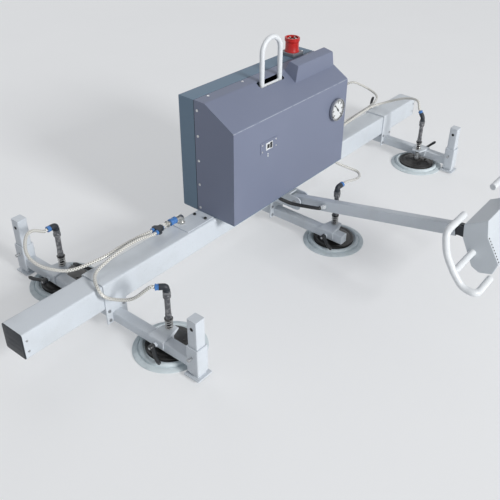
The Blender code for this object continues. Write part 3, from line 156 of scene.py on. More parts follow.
class Finish(Shading):
    """One material: a Principled shader and the nodes that vary it."""

    def __init__(self, name, colour, roughness, metallic=0.0):
        self.material = bpy.data.materials.new(name)
        self.material.use_nodes = True
        super().__init__(self.material.node_tree)
        self.shader = self.tree.nodes["Principled BSDF"]
        self.material.diffuse_color = srgb(*colour)
        self.set(Base_Color=srgb(*colour), Roughness=roughness, Metallic=metallic)
        self.place = self.node("ShaderNodeTexCoord", output="Object")

    def set(self, **inputs):
        for name, value in inputs.items():
            self.link(self.shader.inputs[name.replace("_", " ")], value)

    def noise(self, scale, detail=3.0):
        inputs = {"Vector": self.place, "Scale": scale, "Detail": detail}
        return self.node("ShaderNodeTexNoise", inputs=inputs)

    def blend(self, share, *tones):
        """Two colours mixed by a field."""
        first, second = (tone if isinstance(tone, Field) else srgb(*tone) for tone in tones)
        return self.node("ShaderNodeMix", {"data_type": "RGBA"}, {0: share, 6: first, 7: second}, output=2)

    def bump(self, height, depth, strength):
        inputs = {"Height": height, "Distance": depth, "Strength": strength}
        self.set(Normal=self.node("ShaderNodeBump", inputs=inputs))

    def grain(self, scale, depth, strength, detail=2.0):
        self.bump(self.noise(scale, detail), depth, strength)


light_grey = Finish("light_grey_coat", (209, 215, 221), 0.38)
dust = light_grey.noise(9.0, 6.0).above(0.45, 0.75)
specks = light_grey.noise(260.0, 2.0).above(0.66, 0.74)
tone = light_grey.blend(dust * 0.4, (210, 216, 222), (194, 198, 200))
light_grey.set(Base_Color=light_grey.blend(specks * 0.3, tone, (140, 143, 143)), Roughness=0.34 + dust * 0.12)
light_grey.grain(420.0, 0.00012, 0.5)


# Main beam: a cold-rolled square steel tube with rounded corners, coated inside and out. Two small
# pan-head screws through each side near the ends hold the plugs.
def skin(rings, loop=False):
    """A closed shape over rings of points, capped at both ends or joined into a loop."""
    shape = bmesh.new()
    made = [[shape.verts.new(point) for point in ring] for ring in rings]
    pairs = list(zip(made, made[1:]))
    if loop:
        pairs.append((made[-1], made[0]))
    else:
        shape.faces.new(made[0])
        shape.faces.new(made[-1])
    for first, second in pairs:
        for i in range(len(first)):
            shape.faces.new((first[i - 1], first[i], second[i], second[i - 1]))
    bmesh.ops.recalc_face_normals(shape, faces=shape.faces)
    return shape


def spread(axis, depth, outline):
    """The outline's points on the plane across the axis at this depth."""
    at = "xyz".index(axis)
    return [Vector((*point[:at], depth, *point[at:])) for point in outline]


def prism(outline, near, far, axis="z"):
    return skin([spread(axis, depth, outline) for depth in sorted((near, far))])


def hollow_prism(outer, inner, low, high, axis="z"):
    rings = [(low, outer), (high, outer), (high, inner), (low, inner)]
    return skin([spread(axis, depth, outline) for depth, outline in rings], loop=True)


def soften(points, radius, closed=True, steps=6):
    """The route or outline with each corner rounded off by a short curve."""
    points = [Vector(point) for point in points]
    radii = radius if isinstance(radius, list) else [radius] * len(points)
    made = []
    for i, corner in enumerate(points):
        if radii[i] == 0 or not closed and i in (0, len(points) - 1):
            made.append(corner)
            continue
        neighbours = (points[i - 1], points[(i + 1) % len(points)])
        before, after = (corner + (other - corner).normalized() * radii[i] for other in neighbours)
        for k in range(steps + 1):
            t = k / steps
            made.append(before * (1 - t) ** 2 + corner * 2 * t * (1 - t) + after * t * t)
    return made


def rectangle(left, right, bottom, top, radius=0.0):
    corners = [(left, bottom), (right, bottom), (right, top), (left, top)]
    return soften(corners, radius) if radius else corners


def around(x, y, half_x, half_y, radius=0.0):
    """A rectangle around a middle point."""
    return rectangle(x - half_x, x + half_x, y - half_y, y + half_y, radius)


def circle(radius, sides=40, middle=(0.0, 0.0)):
    turns = [2 * math.pi * k / sides for k in range(sides)]
    return [(middle[0] + radius * math.cos(t), middle[1] + radius * math.sin(t)) for t in turns]


def disc(radius, near, far, axis="z", middle=(0.0, 0.0), sides=32):
    return prism(circle(radius, sides, middle), near, far, axis)


def smooth(mesh, angle=32):
    """The mesh, smooth apart from its edges that are sharper than the angle."""
    mesh.shade_smooth()
    mesh.set_sharp_from_angle(angle=math.radians(angle))
    return mesh


def mesh_of(*shapes, shift=(0, 0, 0)):
    """One mesh from one or more shapes, with its points moved by shift."""
    whole = bmesh.new()
    for shape in shapes:
        mesh = bpy.data.meshes.new("part")
        shape.to_mesh(mesh)
        shape.free()
        whole.from_mesh(mesh)
        bpy.data.meshes.remove(mesh)
    mesh = bpy.data.meshes.new("whole")
    whole.to_mesh(mesh)
    whole.free()
    smooth(mesh).transform(Matrix.Translation(shift))
    return mesh


def piece(name, body, finish, shapes, node=None, place=(0, 0, 0), turn=None, edge=0.0, shift=(0, 0, 0)):
    """Puts a mesh, or the mesh of some shapes, in its place with its finish, riding on its body."""
    item = put(name, mesh_of(*shapes, shift=shift) if isinstance(shapes, list) else shapes)
    item.data.materials.append(finish.material)
    item.location = place
    if turn:
        item.rotation_euler = turn
    if edge:
        bevel = item.modifiers.new("edge", "BEVEL")
        bevel.width = edge
        bevel.segments = 2
        bevel.limit_method = "ANGLE"
        bevel.angle_limit = math.radians(40)
        bevel.harden_normals = True
    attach(item, body)
    if node:
        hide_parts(node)
    return item


beam_half = (beam_high.y - beam_low.y) / 2
beam_wall, flange = 0.004, 0.003
hands = (-1, 1)


def beam_section(inset, radius):
    """The beam's outline seen from its end, drawn in by inset."""
    reach = beam_half - inset
    return rectangle(beam_y - reach, beam_y + reach, beam_low.z + inset, beam_high.z - inset, radius)


walls = (beam_section(0, 0.008), beam_section(beam_wall, 0.004))
tube = hollow_prism(*walls, beam_low.x + flange, beam_high.x - flange, "x")
piece("beam_tube", "lifter", light_grey, [tube], "main_beam")
plug_screws = []
for hand in hands:
    for drop in (0.03, 0.072):
        for edge in hands:
            near, far = beam_y + edge * beam_half, beam_y + edge * (beam_half + 0.0018)
            spot = (hand * (beam_high.x - 0.016), beam_high.z - drop)
            plug_screws.append(disc(0.0042, near, far, "y", spot, 24))


# Beam plugs: moulded black plastic plugs pressed into the tube ends, each with a thin flange that
# covers the tube wall and three low ridges across its face.
def coating(name, colour, gloss, patch, grain=None, metallic=0.0, share=0.5, tones=None):
    """A finish with patches, which change its gloss and mix two tones, over a fine grain.

    The gloss is its base and gain, the patch a noise's scale, detail and, if it has them, the values
    where a patch begins and is full, and the grain a noise's scale, depth in metres and strength.
    """
    made = Finish(name, colour, gloss[0], metallic)
    scale, detail, *ends = patch
    field = made.noise(scale, detail)
    if ends:
        field = field.above(*ends)
    made.set(Roughness=gloss[0] + field * gloss[1])
    if tones:
        made.set(Base_Color=made.blend(field * share, *tones))
    if grain:
        made.grain(*grain)
    return made


dark_plastic = coating(
    "black_moulded_plastic", (30, 36, 44), (0.5, 0.15), (38, 5, 0.55, 0.8), (900, 0.00006, 0.6),
    share=0.4, tones=[(30, 36, 44), (54, 60, 68)],
)
for side, sign in (("left", -1), ("right", 1)):
    low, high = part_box(f"end_cap_{side}")
    plug, face = rectangle(low.y, high.y, low.z, high.z, 0.005), beam_section(0.0004, 0.008)
    inner, outer = (high.x, beam_low.x) if sign < 0 else (low.x, beam_high.x)
    under, edge = outer - sign * flange, outer - sign * 0.001
    steps = [(inner, plug), (under, plug), (under, face), (edge, face), (outer, beam_section(0.002, 0.007))]
    shapes = [skin([spread("x", depth, outline) for depth, outline in steps])]
    for k in range(3):
        ridge = around(beam_y, beam_low.z + 0.03 + k * 0.02, 0.036, 0.001, 0.0008)
        shapes.append(prism(ridge, outer - sign * 0.0005, outer + sign * 0.0004, "x"))
    piece(f"end_plug_{side}", "lifter", dark_plastic, shapes, f"end_cap_{side}")


# Crossbars: a folded saddle over the beam, a square arm welded through it, and at the outer ends a
# square sleeve for the parking leg. The middle one is a cradle under the beam without sleeves.
def middle_of(node):
    low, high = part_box(node)
    return (low + high) / 2


zinc = coating("zinc_plated_steel", (178, 180, 182), (0.26, 0.2), (60, 4), (700, 0.00004, 0.5), 1.0)
piece("beam_plug_screws", "lifter", zinc, plug_screws, edge=0.0004)
half_width, strap_in, strap_out, strap_foot, strap_top = 0.045, 0.0505, 0.0555, 0.036, 0.2005
arm_half, arm_low, arm_high = 0.02, 0.038, 0.078
cradle_foot, cradle_top, web_top, lock_z = 0.0377, 0.1997, 0.0997, 0.094
for side in ("left", "middle", "right"):
    node = f"crossbar_{side}"
    body = "lifter" if side == "middle" else node
    low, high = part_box(node)
    x = (low.x + high.x) / 2
    shapes, leg_rows = [], []
    front, rear = low.y, high.y
    if side == "middle":
        for edge in hands:
            plate = rectangle(x - half_width, x + half_width, cradle_foot, cradle_top, 0.006)
            shapes.append(prism(plate, beam_y + edge * strap_in, beam_y + edge * strap_out, "y"))
        shapes.append(prism(around(x, beam_y, half_width, strap_in), web_top - 0.005, web_top))
    else:
        front, rear = low.y + 0.048, high.y - 0.048
        leg_rows = [middle_of(f"leg_{end}_{side}").y for end in ("front", "rear")]
        strap = []
        for reach, roof in ((strap_out, strap_top + 0.005), (-strap_in, strap_top)):
            strap += [(-reach, strap_foot), (-reach, roof), (reach, roof), (reach, strap_foot)]
        bends = [0, 0.009, 0.009, 0, 0, 0.005, 0.005, 0]
        strap = soften([(beam_y + y, z) for y, z in strap], bends)
        shapes.append(prism(strap, x - half_width, x + half_width, "x"))
    shapes.append(prism(rectangle(x - arm_half, x + arm_half, arm_low, arm_high, 0.005), front, rear, "y"))
    for y in leg_rows:
        walls = (around(x, y, 0.025, 0.025, 0.005), around(x, y, 0.0207, 0.0207, 0.003))
        shapes.append(hollow_prism(*walls, 0.025, 0.132))
    piece(f"{node}_frame", body, light_grey, shapes, node, edge=0.0008)
    heads = []
    for edge in hands:
        face = beam_y + edge * strap_out
        for spot in ((x - 0.032, 0.05), (x - 0.032, 0.09), (x + 0.032, 0.05), (x + 0.032, 0.09)):
            heads.append(disc(0.00625, face, face + edge * 0.0012, "y", spot, 24))
            heads.append(disc(0.005, face, face + edge * 0.004, "y", spot, 6))
    piece(f"{node}_bolts", body, zinc, heads)
    if side == "middle":
        continue
    plungers, bars = [], []
    for y in leg_rows:
        plungers.append(disc(0.004, x - 0.036, x - 0.025, "x", (y, lock_z), 20))
        plungers.append(disc(0.0065, x - 0.042, x - 0.036, "x", (y, lock_z), 20))
        bar = rectangle(y - 0.015, y + 0.015, lock_z, lock_z + 0.006, 0.001)
        bars.append(prism(bar, x + 0.024, x + 0.031, "x"))
    piece(f"leg_lock_plungers_{side}", body, zinc, plungers)
    piece(f"leg_stop_bars_{side}", body, light_grey, bars, edge=0.0005)

# Parking legs: square tubes that slide in the sleeves, closed by a cap, with a lock hole near the
# top and a square foot plate welded on below.
# A near-black finish, used as painted shade in holes and gaps and for the gauge's printed marks.
shade_and_mark_black = coating("black_for_shade_and_marks", (14, 15, 17), (0.7, 0.2), (50, 3))
for end in ("front", "rear"):
    for side in ("left", "right"):
        node = f"leg_{end}_{side}"
        low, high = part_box(node)
        x, y = middle_of(node).xy
        post = prism(around(x, y, 0.02, 0.02, 0.004), low.z + 0.004, high.z)
        foot = prism(rectangle(low.x, high.x, low.y, high.y, 0.004), low.z, low.z + 0.005)
        piece(f"{node}_post", node, light_grey, [post, foot], node, edge=0.0008)
        # The lock hole is a near-black disc on the post, painted shade for the hollow inside.
        hole = disc(0.0068, x - 0.0203, x - 0.019, "x", (y, high.z - 0.034), 24)
        piece(f"{node}_hole", node, shade_and_mark_black, [hole])

# Cup carriers: a folded sheet channel that rides the arm, with a rounded wing for the stem and a
# welded boss on the other side for the clamp screw.
fold = [(0.062, 0.0785), (0.062, 0.0835), (-0.0255, 0.0835), (-0.0255, 0.0505), (-0.0205, 0.0505)]
fold += [(-0.0205, 0.0785), (0.0205, 0.0785), (0.0205, 0.0505), (0.0255, 0.0505), (0.0255, 0.0785)]
bends = [0, 0, 0.007, 0, 0, 0.002, 0.002, 0, 0, 0]
stem_offset, screw_z = 0.04, 0.058
for end in ("front", "rear"):
    for side in ("left", "middle", "right"):
        node = f"carrier_{end}_{side}"
        low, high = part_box(node)
        y = (low.y + high.y) / 2
        sign = -1 if side == "right" else 1
        x = middle_of(f"cup_{end}_{side}").x - sign * stem_offset
        outline = soften([(x + sign * u, z) for u, z in fold], bends, steps=4)
        channel = prism(outline, low.y, high.y, "y")
        for vert in channel.verts:
            if sign * (vert.co.x - x) > 0.046:
                vert.co.y = y + (vert.co.y - y) * 0.62
        boss = disc(0.009, x - sign * 0.0335, x - sign * 0.0245, "x", (y, screw_z), 28)
        piece(f"{node}_channel", node, light_grey, [channel, boss], node, edge=0.0008)


# Clamp levers: black moulded handles on a steel screw. The handle rises from a round hub and ends
# in a thicker grip; a small screw holds the hub's spring from above.
def turned(profile, sides=40, loop=False):
    """A lathed shape from pairs of radius and height."""
    return skin([spread("z", height, circle(radius, sides)) for radius, height in profile], loop)


def rings_along(route, radii, sides):
    """Circles of points square to the route, without a twist between them."""
    side = (route[1] - route[0]).orthogonal()
    turns = [2 * math.pi * k / sides for k in range(sides)]
    rings = []
    for i, point in enumerate(route):
        heading = (route[min(i + 1, len(route) - 1)] - route[max(i - 1, 0)]).normalized()
        side = (side - heading * side.dot(heading)).normalized()
        other = heading.cross(side)
        rings.append([point + (side * math.cos(t) + other * math.sin(t)) * radii[i] for t in turns])
    return rings


def sweep(route, radii, sides=20):
    """A round bar along the route, with one radius or one for each point."""
    radii = radii if isinstance(radii, list) else [radii] * len(route)
    return skin(rings_along([Vector(point) for point in route], radii, sides))


def smooth_route(points, spacing):
    """Evenly close points on a smooth curve through the given ones."""
    points = [Vector(point) for point in points]
    padded = [points[0] * 2 - points[1], *points, points[-1] * 2 - points[-2]]
    made = [points[0]]
    for a, b, c, d in zip(padded, padded[1:], padded[2:], padded[3:]):
        steps = max(1, round((c - b).length / spacing))
        for k in range(1, steps + 1):
            t = k / steps
            pull = (c - a) * t + (a * 2 - b * 5 + c * 4 - d) * t**2 + (b * 3 - a - c * 3 + d) * t**3
            made.append(b + pull / 2)
    return made


def turn_to(outward, along):
    """The rotation that takes local Z to outward and local X towards along."""
    z = Vector(outward).normalized()
    x = Vector(along)
    x = (x - z * x.dot(z)).normalized()
    return Matrix((x, z.cross(x), z)).transposed().to_euler()


def clamp_lever(node, length, pivot, turn):
    """Hub, handle and screw of one lever, made with the hub's axis along Z and the handle along X."""
    hub = turned([(0.0092, 0.0), (0.0104, 0.0012), (0.0104, 0.015), (0.0092, 0.0185), (0.0055, 0.02)])
    rise = ((0.0, 0.01), (0.25, 0.014), (0.6, 0.026), (0.92, 0.03), (1.0, 0.03))
    route = smooth_route([(length * share, 0.0, z) for share, z in rise], 0.006)
    count = len(route) - 1
    shares = [i / count for i in range(count + 1)]
    radii = [0.0076 - 0.0014 * math.sin(math.pi * share) + 0.0004 * share for share in shares]
    radii[-2] *= 0.88
    radii[-1] *= 0.55
    piece(f"{node}_handle", node, gloss_black, [hub, sweep(route, radii)], node, pivot, turn)
    screw = [disc(0.0038, -0.0133, 0.0), disc(0.0042, 0.0195, 0.0212, sides=24)]
    piece(f"{node}_screw", node, zinc, screw, None, pivot, turn)


lever_grain = (1200, 0.00003, 0.5)
gloss_black = coating("black_lever_plastic", (34, 36, 39), (0.28, 0.2), (45, 4, 0.4, 0.8), lever_grain)
lever_turns = {"front_left": 205, "rear_left": 0, "front_middle": 205}
lever_turns |= {"rear_middle": 0, "front_right": 135, "rear_right": 0}
for place, degrees in lever_turns.items():
    low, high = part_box(f"carrier_{place}")
    sign = -1 if place.endswith("right") else 1
    pivot = ((low.x if sign > 0 else high.x) - sign * 0.0003, (low.y + high.y) / 2, screw_z)
    angle = math.radians(degrees)
    turn = turn_to((-sign, 0, 0), (0, math.cos(angle), math.sin(angle)))
    clamp_lever(f"carrier_lever_{place}", 0.064, pivot, turn)
for side, degrees, x in (("left", 139, -0.883), ("right", 45, 0.983)):
    angle, z = math.radians(degrees), 0.17
    turn = turn_to((0, 1, 0), (math.cos(angle), 0, math.sin(angle)))
    clamp_lever(f"saddle_lever_{side}", 0.088, (x, beam_y + 0.0638, z), turn)
    boss = disc(0.009, beam_y + 0.0554, beam_y + 0.0635, "y", (x, z))
    piece(f"crossbar_{side}_boss", f"crossbar_{side}", light_grey, [boss])

# Spring stems: a dark steel rod through the carrier with a stop ring below, a flange that the
# spring pushes up, a knurled sleeve, a collar, a hexagon nut and a moulded elbow for the hose.
dark_steel = coating(
    "dark_oiled_steel", (70, 70, 73), (0.3, 0.18), (85, 5, 0.45, 0.75), (900, 0.00004, 0.5), 0.75,
    share=1.0, tones=[(50, 50, 53), (112, 111, 110)],
)
sleeve_steel = coating(
    "browned_sleeve_steel", (116, 117, 121), (0.28, 0.16), (85, 5, 0.4, 0.75), (900, 0.00004, 0.5), 0.7,
    share=1.0, tones=[(98, 99, 103), (156, 156, 157)],
)
blue_plastic = coating(
    "blue_ring_plastic", (72, 126, 190), (0.3, 0.15), (160, 3, 0.35, 0.8), (1500, 0.00002, 0.4),
    tones=[(76, 130, 194), (48, 96, 160)],
)


def moved(shape, x, y, z=0.0):
    bmesh.ops.translate(shape, vec=Vector((x, y, z)), verts=shape.verts)
    return shape


stop, flange_z, sleeve_z, collar_z, stem_top = 0.0782, 0.1241, 0.1291, 0.2171, 0.2431
rod = [(0.008, 0.0333), (0.008, stop - 0.01), (0.0122, stop - 0.0095), (0.013, stop - 0.0085)]
rod += [(0.013, stop - 0.0008), (0.0122, stop), (0.008, stop), (0.008, flange_z)]
rod += [(0.0142, flange_z), (0.015, flange_z + 0.0008), (0.015, flange_z + 0.0042), (0.0142, sleeve_z)]
knurled, groove = [(0.0105, sleeve_z)], 0.02 / 6
for k in range(6):
    for radius, share in ((0.0108, 0.15), (0.0108, 0.65), (0.01, 0.8), (0.01, 1.0)):
        knurled.append((radius, sleeve_z + groove * (k + share)))
knurled += [(0.0098, sleeve_z + 0.021), (0.0098, collar_z - 0.004), (0.0112, collar_z - 0.003)]
collar = ((0.0112, 0), (0.0128, 0), (0.0135, 0.001), (0.0135, 0.011), (0.0128, 0.012))
knurled += [(radius, collar_z + z) for radius, z in collar]
nut = [(0.0132, collar_z + 0.0118), (0.014, collar_z + 0.0128), (0.014, stem_top - 0.001), (0.0132, stem_top)]
foot = [(0.0118, -0.0002), (0.0122, 0.001), (0.0122, 0.005), (0.0114, 0.006)]
elbows = {"front_left": (135, 0), "rear_left": (180, 0), "front_middle": (0, 0)}
elbows |= {"rear_middle": (0, 0), "front_right": (75, 50), "rear_right": (-55, 15)}
hose_starts = {}
for place, (turn, rise) in elbows.items():
    x, y = middle_of(f"cup_{place}").xy
    stem, slot = f"stem_{place}", "stem_steel"
    piece(f"{stem}_rod", stem, dark_steel, [turned(rod, 32)], stem, shift=(x, y, 0))
    piece(f"{stem}_sleeve", stem, sleeve_steel, [turned(knurled, 32), turned(nut, 6)], shift=(x, y, 0))
    spin, lift = math.radians(turn), math.radians(rise)
    heading = Vector((math.cos(spin) * math.cos(lift), math.sin(spin) * math.cos(lift), math.sin(lift)))
    corner = Vector((x, y, stem_top + 0.018))
    shapes = [
        sweep(soften([(x, y, stem_top), corner, corner + heading * 0.024], 0.009, False, 8), 0.0108, 28),
        sweep([corner + heading * 0.01, corner + heading * 0.0235], 0.0112, 28),
        moved(turned(foot, 32), x, y, stem_top),
    ]
    piece(f"{stem}_elbow", stem, dark_plastic, shapes)
    ring = [corner + heading * d for d in (0.0232, 0.0242, 0.0268, 0.0278, 0.03, 0.0312, 0.0352, 0.036)]
    radii = [0.0105, 0.0113, 0.0113, 0.01, 0.01, 0.0114, 0.0114, 0.0104]
    piece(f"{stem}_collar", stem, blue_plastic, [sweep(ring, radii, 32)])
    hose_starts[place] = (corner + heading * 0.036, heading)

# Coil springs between the carrier and the stem's flange, wound from round wire with the first and
# last turns closer together.
wire_grain = (1500, 0.00002, 0.5)
spring_steel = coating("spring_wire_steel", (168, 168, 167), (0.22, 0.22), (140, 4), wire_grain, 0.85)
wire, turns, turn_steps = 0.0018, 4, 24
for place in elbows:
    node = f"spring_{place}"
    low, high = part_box(node)
    x, y = middle_of(node).xy
    reach, rise = (high.x - low.x) / 2 - wire, high.z - low.z - 2 * wire
    route = []
    for k in range(turns * turn_steps + 1):
        share = k / (turns * turn_steps)
        z = low.z + wire + rise * (share - 0.055 * math.sin(2 * math.pi * share))
        angle = 2 * math.pi * turns * share
        route.append((x + reach * math.cos(angle), y + reach * math.sin(angle), z))
    coil = [sweep(route, wire, 10)]
    item = piece(f"{node}_coil", f"carrier_{place}", spring_steel, coil, node)
    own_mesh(item)

# Suction cups: a pale rubber lip and bead moulded on a pressed dark steel disc. The disc has a
# raised hub, two stiffening steps and four small screws, and a plated fitting joins it to the stem.
pale_rubber = coating(
    "pale_cup_rubber", (196, 208, 211), (0.48, 0.2), (34, 5, 0.42, 0.78), (600, 0.00008, 0.5, 3.0),
    tones=[(212, 222, 225), (176, 187, 191)],
)
disc_black = coating(
    "black_pressed_disc", (38, 37, 36), (0.36, 0.25), (52, 5, 0.5, 0.8), (700, 0.00005, 0.5),
    tones=[(36, 35, 34), (66, 63, 60)],
)
lip = [(0.086, 0.005), (0.104, 0.004), (0.119, 0), (0.1285, 0), (0.13, 0.0012), (0.13, 0.003)]
lip += [(0.1284, 0.0042), (0.123, 0.0062), (0.116, 0.0082), (0.1125, 0.0086), (0.1112, 0.0072)]
lip += [(0.11, 0.0058), (0.1088, 0.006), (0.108, 0.009), (0.1072, 0.014), (0.1052, 0.0172)]
lip += [(0.1018, 0.019), (0.098, 0.019), (0.0946, 0.0174), (0.093, 0.0146), (0.0918, 0.0112)]
lip += [(0.09, 0.01), (0.088, 0.0104), (0.0862, 0.0112)]
dish = [(0.0866, 0.0062), (0.0872, 0.018), (0.0862, 0.0205), (0.0835, 0.0214), (0.078, 0.0216)]
dish += [(0.0755, 0.0206), (0.07, 0.0206), (0.067, 0.0222), (0.056, 0.0236), (0.033, 0.0258)]
dish += [(0.031, 0.0268), (0.019, 0.027), (0.0182, 0.0278), (0.018, 0.0322), (0.0172, 0.033), (0.008, 0.033)]
fitting = [(0.0128, 0.033), (0.014, 0.0336), (0.014, 0.044), (0.0128, 0.045)]
tail = [(0.0104, 0.0449), (0.0104, 0.066), (0.0096, 0.067)]
for place in elbows:
    cup, stem, slot = f"cup_{place}", f"stem_{place}", "pale_rubber"
    x, y = middle_of(cup).xy
    piece(f"{cup}_rubber", stem, pale_rubber, [turned(lip, 96, loop=True)], cup, shift=(x, y, 0))
    shapes = [turned(dish, 72)]
    for k in range(4):
        angle = math.radians(45 + 90 * k)
        spot = (0.047 * math.cos(angle), 0.047 * math.sin(angle))
        shapes.append(disc(0.0046, 0.0238, 0.0272, "z", spot, 6))
    piece(f"{cup}_disc", stem, disc_black, shapes, shift=(x, y, 0))
    piece(f"{cup}_fitting", stem, zinc, [turned(fitting, 6), turned(tail, 28)], shift=(x, y, 0))

# Outlet plate on top of the beam: a flat coated strip, held by black socket screws. At each end a
# nickel elbow and pipe lead to a black branch piece with two blue push-in collars for the hoses.
nickel = coating("nickel_plated_brass", (212, 211, 206), (0.18, 0.2), (90, 4), (900, 0.00002, 0.5), 1.0)
housing_x, plate_half, plate_top = -0.0165, 0.5164, 0.2033
pipe_y, pipe_z = beam_y + 0.026, 0.2323
strip = prism(around(housing_x, beam_y, plate_half, 0.04, 0.004), 0.2003, plate_top)
piece("outlet_plate", "lifter", light_grey, [strip], "manifold_plate", edge=0.0006)


def socket_screw(x, y, low, height, radius):
    """A round screw head with a hexagon socket, standing on low."""
    head = [(0.94, 0), (1, 0.1), (1, 0.85), (0.9, 1), (0.5, 1), (0.5, 0.45), (0.0002 / radius, 0.4)]
    return moved(turned([(radius * r, low + height * h) for r, h in head], 24), x, y)


screws = []
for side in hands:
    for reach, y in ((0.108, 0.028), (0.113, -0.024)):
        x = housing_x + side * (plate_half - reach)
        screws.append(socket_screw(x, beam_y + y, plate_top, 0.006, 0.006))
piece("outlet_plate_screws", "lifter", gloss_black, screws)
mouth, collar_row = 0.01, 0.011
base = [(0.0148, 0), (0.0154, 0.0008), (0.0154, 0.008), (0.0146, 0.009)]
half_plan = [(0, -mouth), (0.01, -mouth), (0.02, -0.021), (0.034, -0.021)]
plan = half_plan + [(u, -v) for u, v in reversed(half_plan)]
for side, hand in (("left", -1), ("right", 1)):
    start = housing_x + hand * (plate_half - 0.033)
    route, knee = (
        [(start, pipe_y, low), (start, pipe_y, pipe_z), (start + hand * run, pipe_y, pipe_z)]
        for low, run in ((plate_top, 0.1), (plate_top + 0.006, 0.026))
    )
    shapes = [
        sweep(soften(route, 0.016, False, 10), 0.008, 32),
        sweep(soften(knee, 0.013, False, 10), 0.0115, 32),
        moved(turned(base, 6), start, pipe_y, plate_top),
    ]
    bands = ((0.0131, 0.0277, 0.0307, 40), (0.0131, 0.0713, 0.0743, 40), (0.0112, 0.088, 0.0995, 6))
    for radius, near, far, sides in bands:
        shapes.append(disc(radius, start + hand * near, start + hand * far, "x", (pipe_y, pipe_z), sides))
    piece(f"outlet_pipe_{side}", "lifter", nickel, shapes, edge=0.0004)
    body = start + hand * 0.0997
    outline = soften([(body + hand * u, pipe_y + v) for u, v in plan], 0.003, steps=3)
    branch = prism(outline, pipe_z - mouth, pipe_z + mouth)
    piece(f"outlet_branch_{side}", "lifter", dark_plastic, [branch], edge=0.002)
    rings = []
    for row in hands:
        steps = (0.033, 0.0344, 0.037, 0.038, 0.0396, 0.0406, 0.0426, 0.043)
        ring = [(body + hand * d, pipe_y + row * collar_row, pipe_z) for d in steps]
        rings.append(sweep(ring, [0.0084, 0.009, 0.009, 0.008, 0.008, 0.009, 0.009, 0.0082], 32))
    rings.append(disc(0.0098, body - hand * 0.0045, body + hand * 0.0005, "x", (pipe_y, pipe_z), 40))
    piece(f"outlet_collars_{side}", "lifter", blue_plastic, rings)

# Hand slide valves: a blue moulded sleeve with two gripping bands, which slides along each outlet
# pipe between two thin rings.
profile = [(0.0085, 0.0), (0.0129, 0.0), (0.0135, 0.0006)]
for k in range(6):
    profile += [(0.0135, 0.0012 * (k + 1)), (0.0131, 0.0012 * (k + 1) + 0.0005)]
profile += [(0.0135, 0.009), (0.0125, 0.0105), (0.0125, 0.0195), (0.0135, 0.021)]
for k in range(6):
    profile += [(0.0131, 0.0218 + 0.0012 * k), (0.0135, 0.0223 + 0.0012 * k)]
profile += [(0.0135, 0.0294), (0.0129, 0.03), (0.0085, 0.03)]
for side, hand in (("left", -1), ("right", 1)):
    node, spot = f"valve_sleeve_{side}", (housing_x + hand * (plate_half - 0.002), pipe_y, pipe_z)
    turn, sleeve = turn_to((hand, 0, 0), (0, 1, 0)), [turned(profile, 48, loop=True)]
    piece(f"{node}_ring", node, blue_plastic, sleeve, node, spot, turn)

# Pump housing, rear box: a deep folded sheet box with the floor pan, powder coated in a cool
# blue-grey. Its folded edge shows as a thin step beside the cover.
teal_grey = coating(
    "rear_box_coat", (110, 131, 149), (0.56, 0.12), (5, 6, 0.4, 0.8), (520, 0.00015, 0.6),
    share=0.4, tones=[(105, 127, 146), (118, 138, 154)],
)
left_x, right_x = housing_x - 0.374, housing_x + 0.374
joint_y, rear_y, front_y, slope_y = beam_y + 0.0447, beam_y + 0.1186, beam_y - 0.1474, beam_y - 0.0088
floor_z, roof_z, shoulder_z = 0.2036, 0.67, 0.5903
sheet = 0.002


def carve(shape, *cutters):
    """The shape's mesh with the other shapes cut out of it."""
    item = put("carved", mesh_of(shape))
    tools = [put("tool", mesh_of(cutter)) for cutter in cutters]
    for tool in tools:
        step = item.modifiers.new("cut", "BOOLEAN")
        step.operation = "DIFFERENCE"
        step.solver = "EXACT"
        step.object = tool
    bpy.context.view_layer.update()
    made = bpy.data.meshes.new_from_object(item.evaluated_get(bpy.context.evaluated_depsgraph_get()))
    for extra in (item, *tools):
        bpy.data.objects.remove(extra, do_unlink=True)
    return smooth(made)


box_side = rectangle(joint_y, rear_y, floor_z, roof_z, 0.0035)
room = rectangle(joint_y - sheet, rear_y - sheet, floor_z + sheet, roof_z - sheet)
box_mesh = carve(prism(box_side, left_x, right_x, "x"), prism(room, left_x + sheet, right_x - sheet, "x"))
piece("rear_box", "lifter", teal_grey, box_mesh, "housing_rear", edge=0.0012)
eye_left, eye_right, eye_y, eye_bar = -0.085, 0.027, beam_y - 0.028, 0.01
pan = prism(rectangle(left_x, right_x, front_y, joint_y + 2 * sheet), floor_z, floor_z + sheet)
drilled = [disc(0.0105, floor_z - sheet, floor_z + 2 * sheet, "z", (x, eye_y)) for x in (eye_left, eye_right)]
piece("floor_pan", "lifter", teal_grey, carve(pan, *drilled))

# Pump housing, front cover: one folded sheet for front, slope and top strip between two side
# sheets, in a fine-textured blue-grey coat, with a lighter line painted along the fold as a
# highlight. Screws along its rear edge hold it to the rear box.
cover_coat = Finish("front_cover_coat", (119, 126, 146), 0.54)
haze = cover_coat.noise(4.0, 6.0).above(0.38, 0.8)
spot = {"Vector": cover_coat.place}
depth, height = (cover_coat.node("ShaderNodeSeparateXYZ", inputs=spot, output=axis) for axis in "YZ")
# A patchy lighter band along the fold, near the front, is a painted highlight.
off_fold = (height - (shoulder_z - 0.0012)).math("ABSOLUTE").above(0.0004, 0.0022)
off_front = (depth - front_y).above(0.004, 0.0075)
painted_fold_highlight = (1 - off_fold) * (1 - off_front) * cover_coat.noise(38.0, 4.0).above(0.25, 0.55)
tone = cover_coat.blend(haze * 0.4, (118, 125, 146), (131, 137, 156))
cover_coat.set(Base_Color=cover_coat.blend(painted_fold_highlight * 0.6, tone, (178, 184, 194)), Roughness=0.52 + haze * 0.12)
cover_coat.grain(560.0, 0.00016, 0.6)
foot_z, lap_y, slot_name = floor_z + sheet + 0.0003, joint_y - 0.003, "blue_grey_coat"
fold = [(front_y, foot_z), (front_y, shoulder_z), (slope_y, roof_z), (lap_y, roof_z)]
outline = [(lap_y, foot_z), *soften(fold, 0.0065, False)]
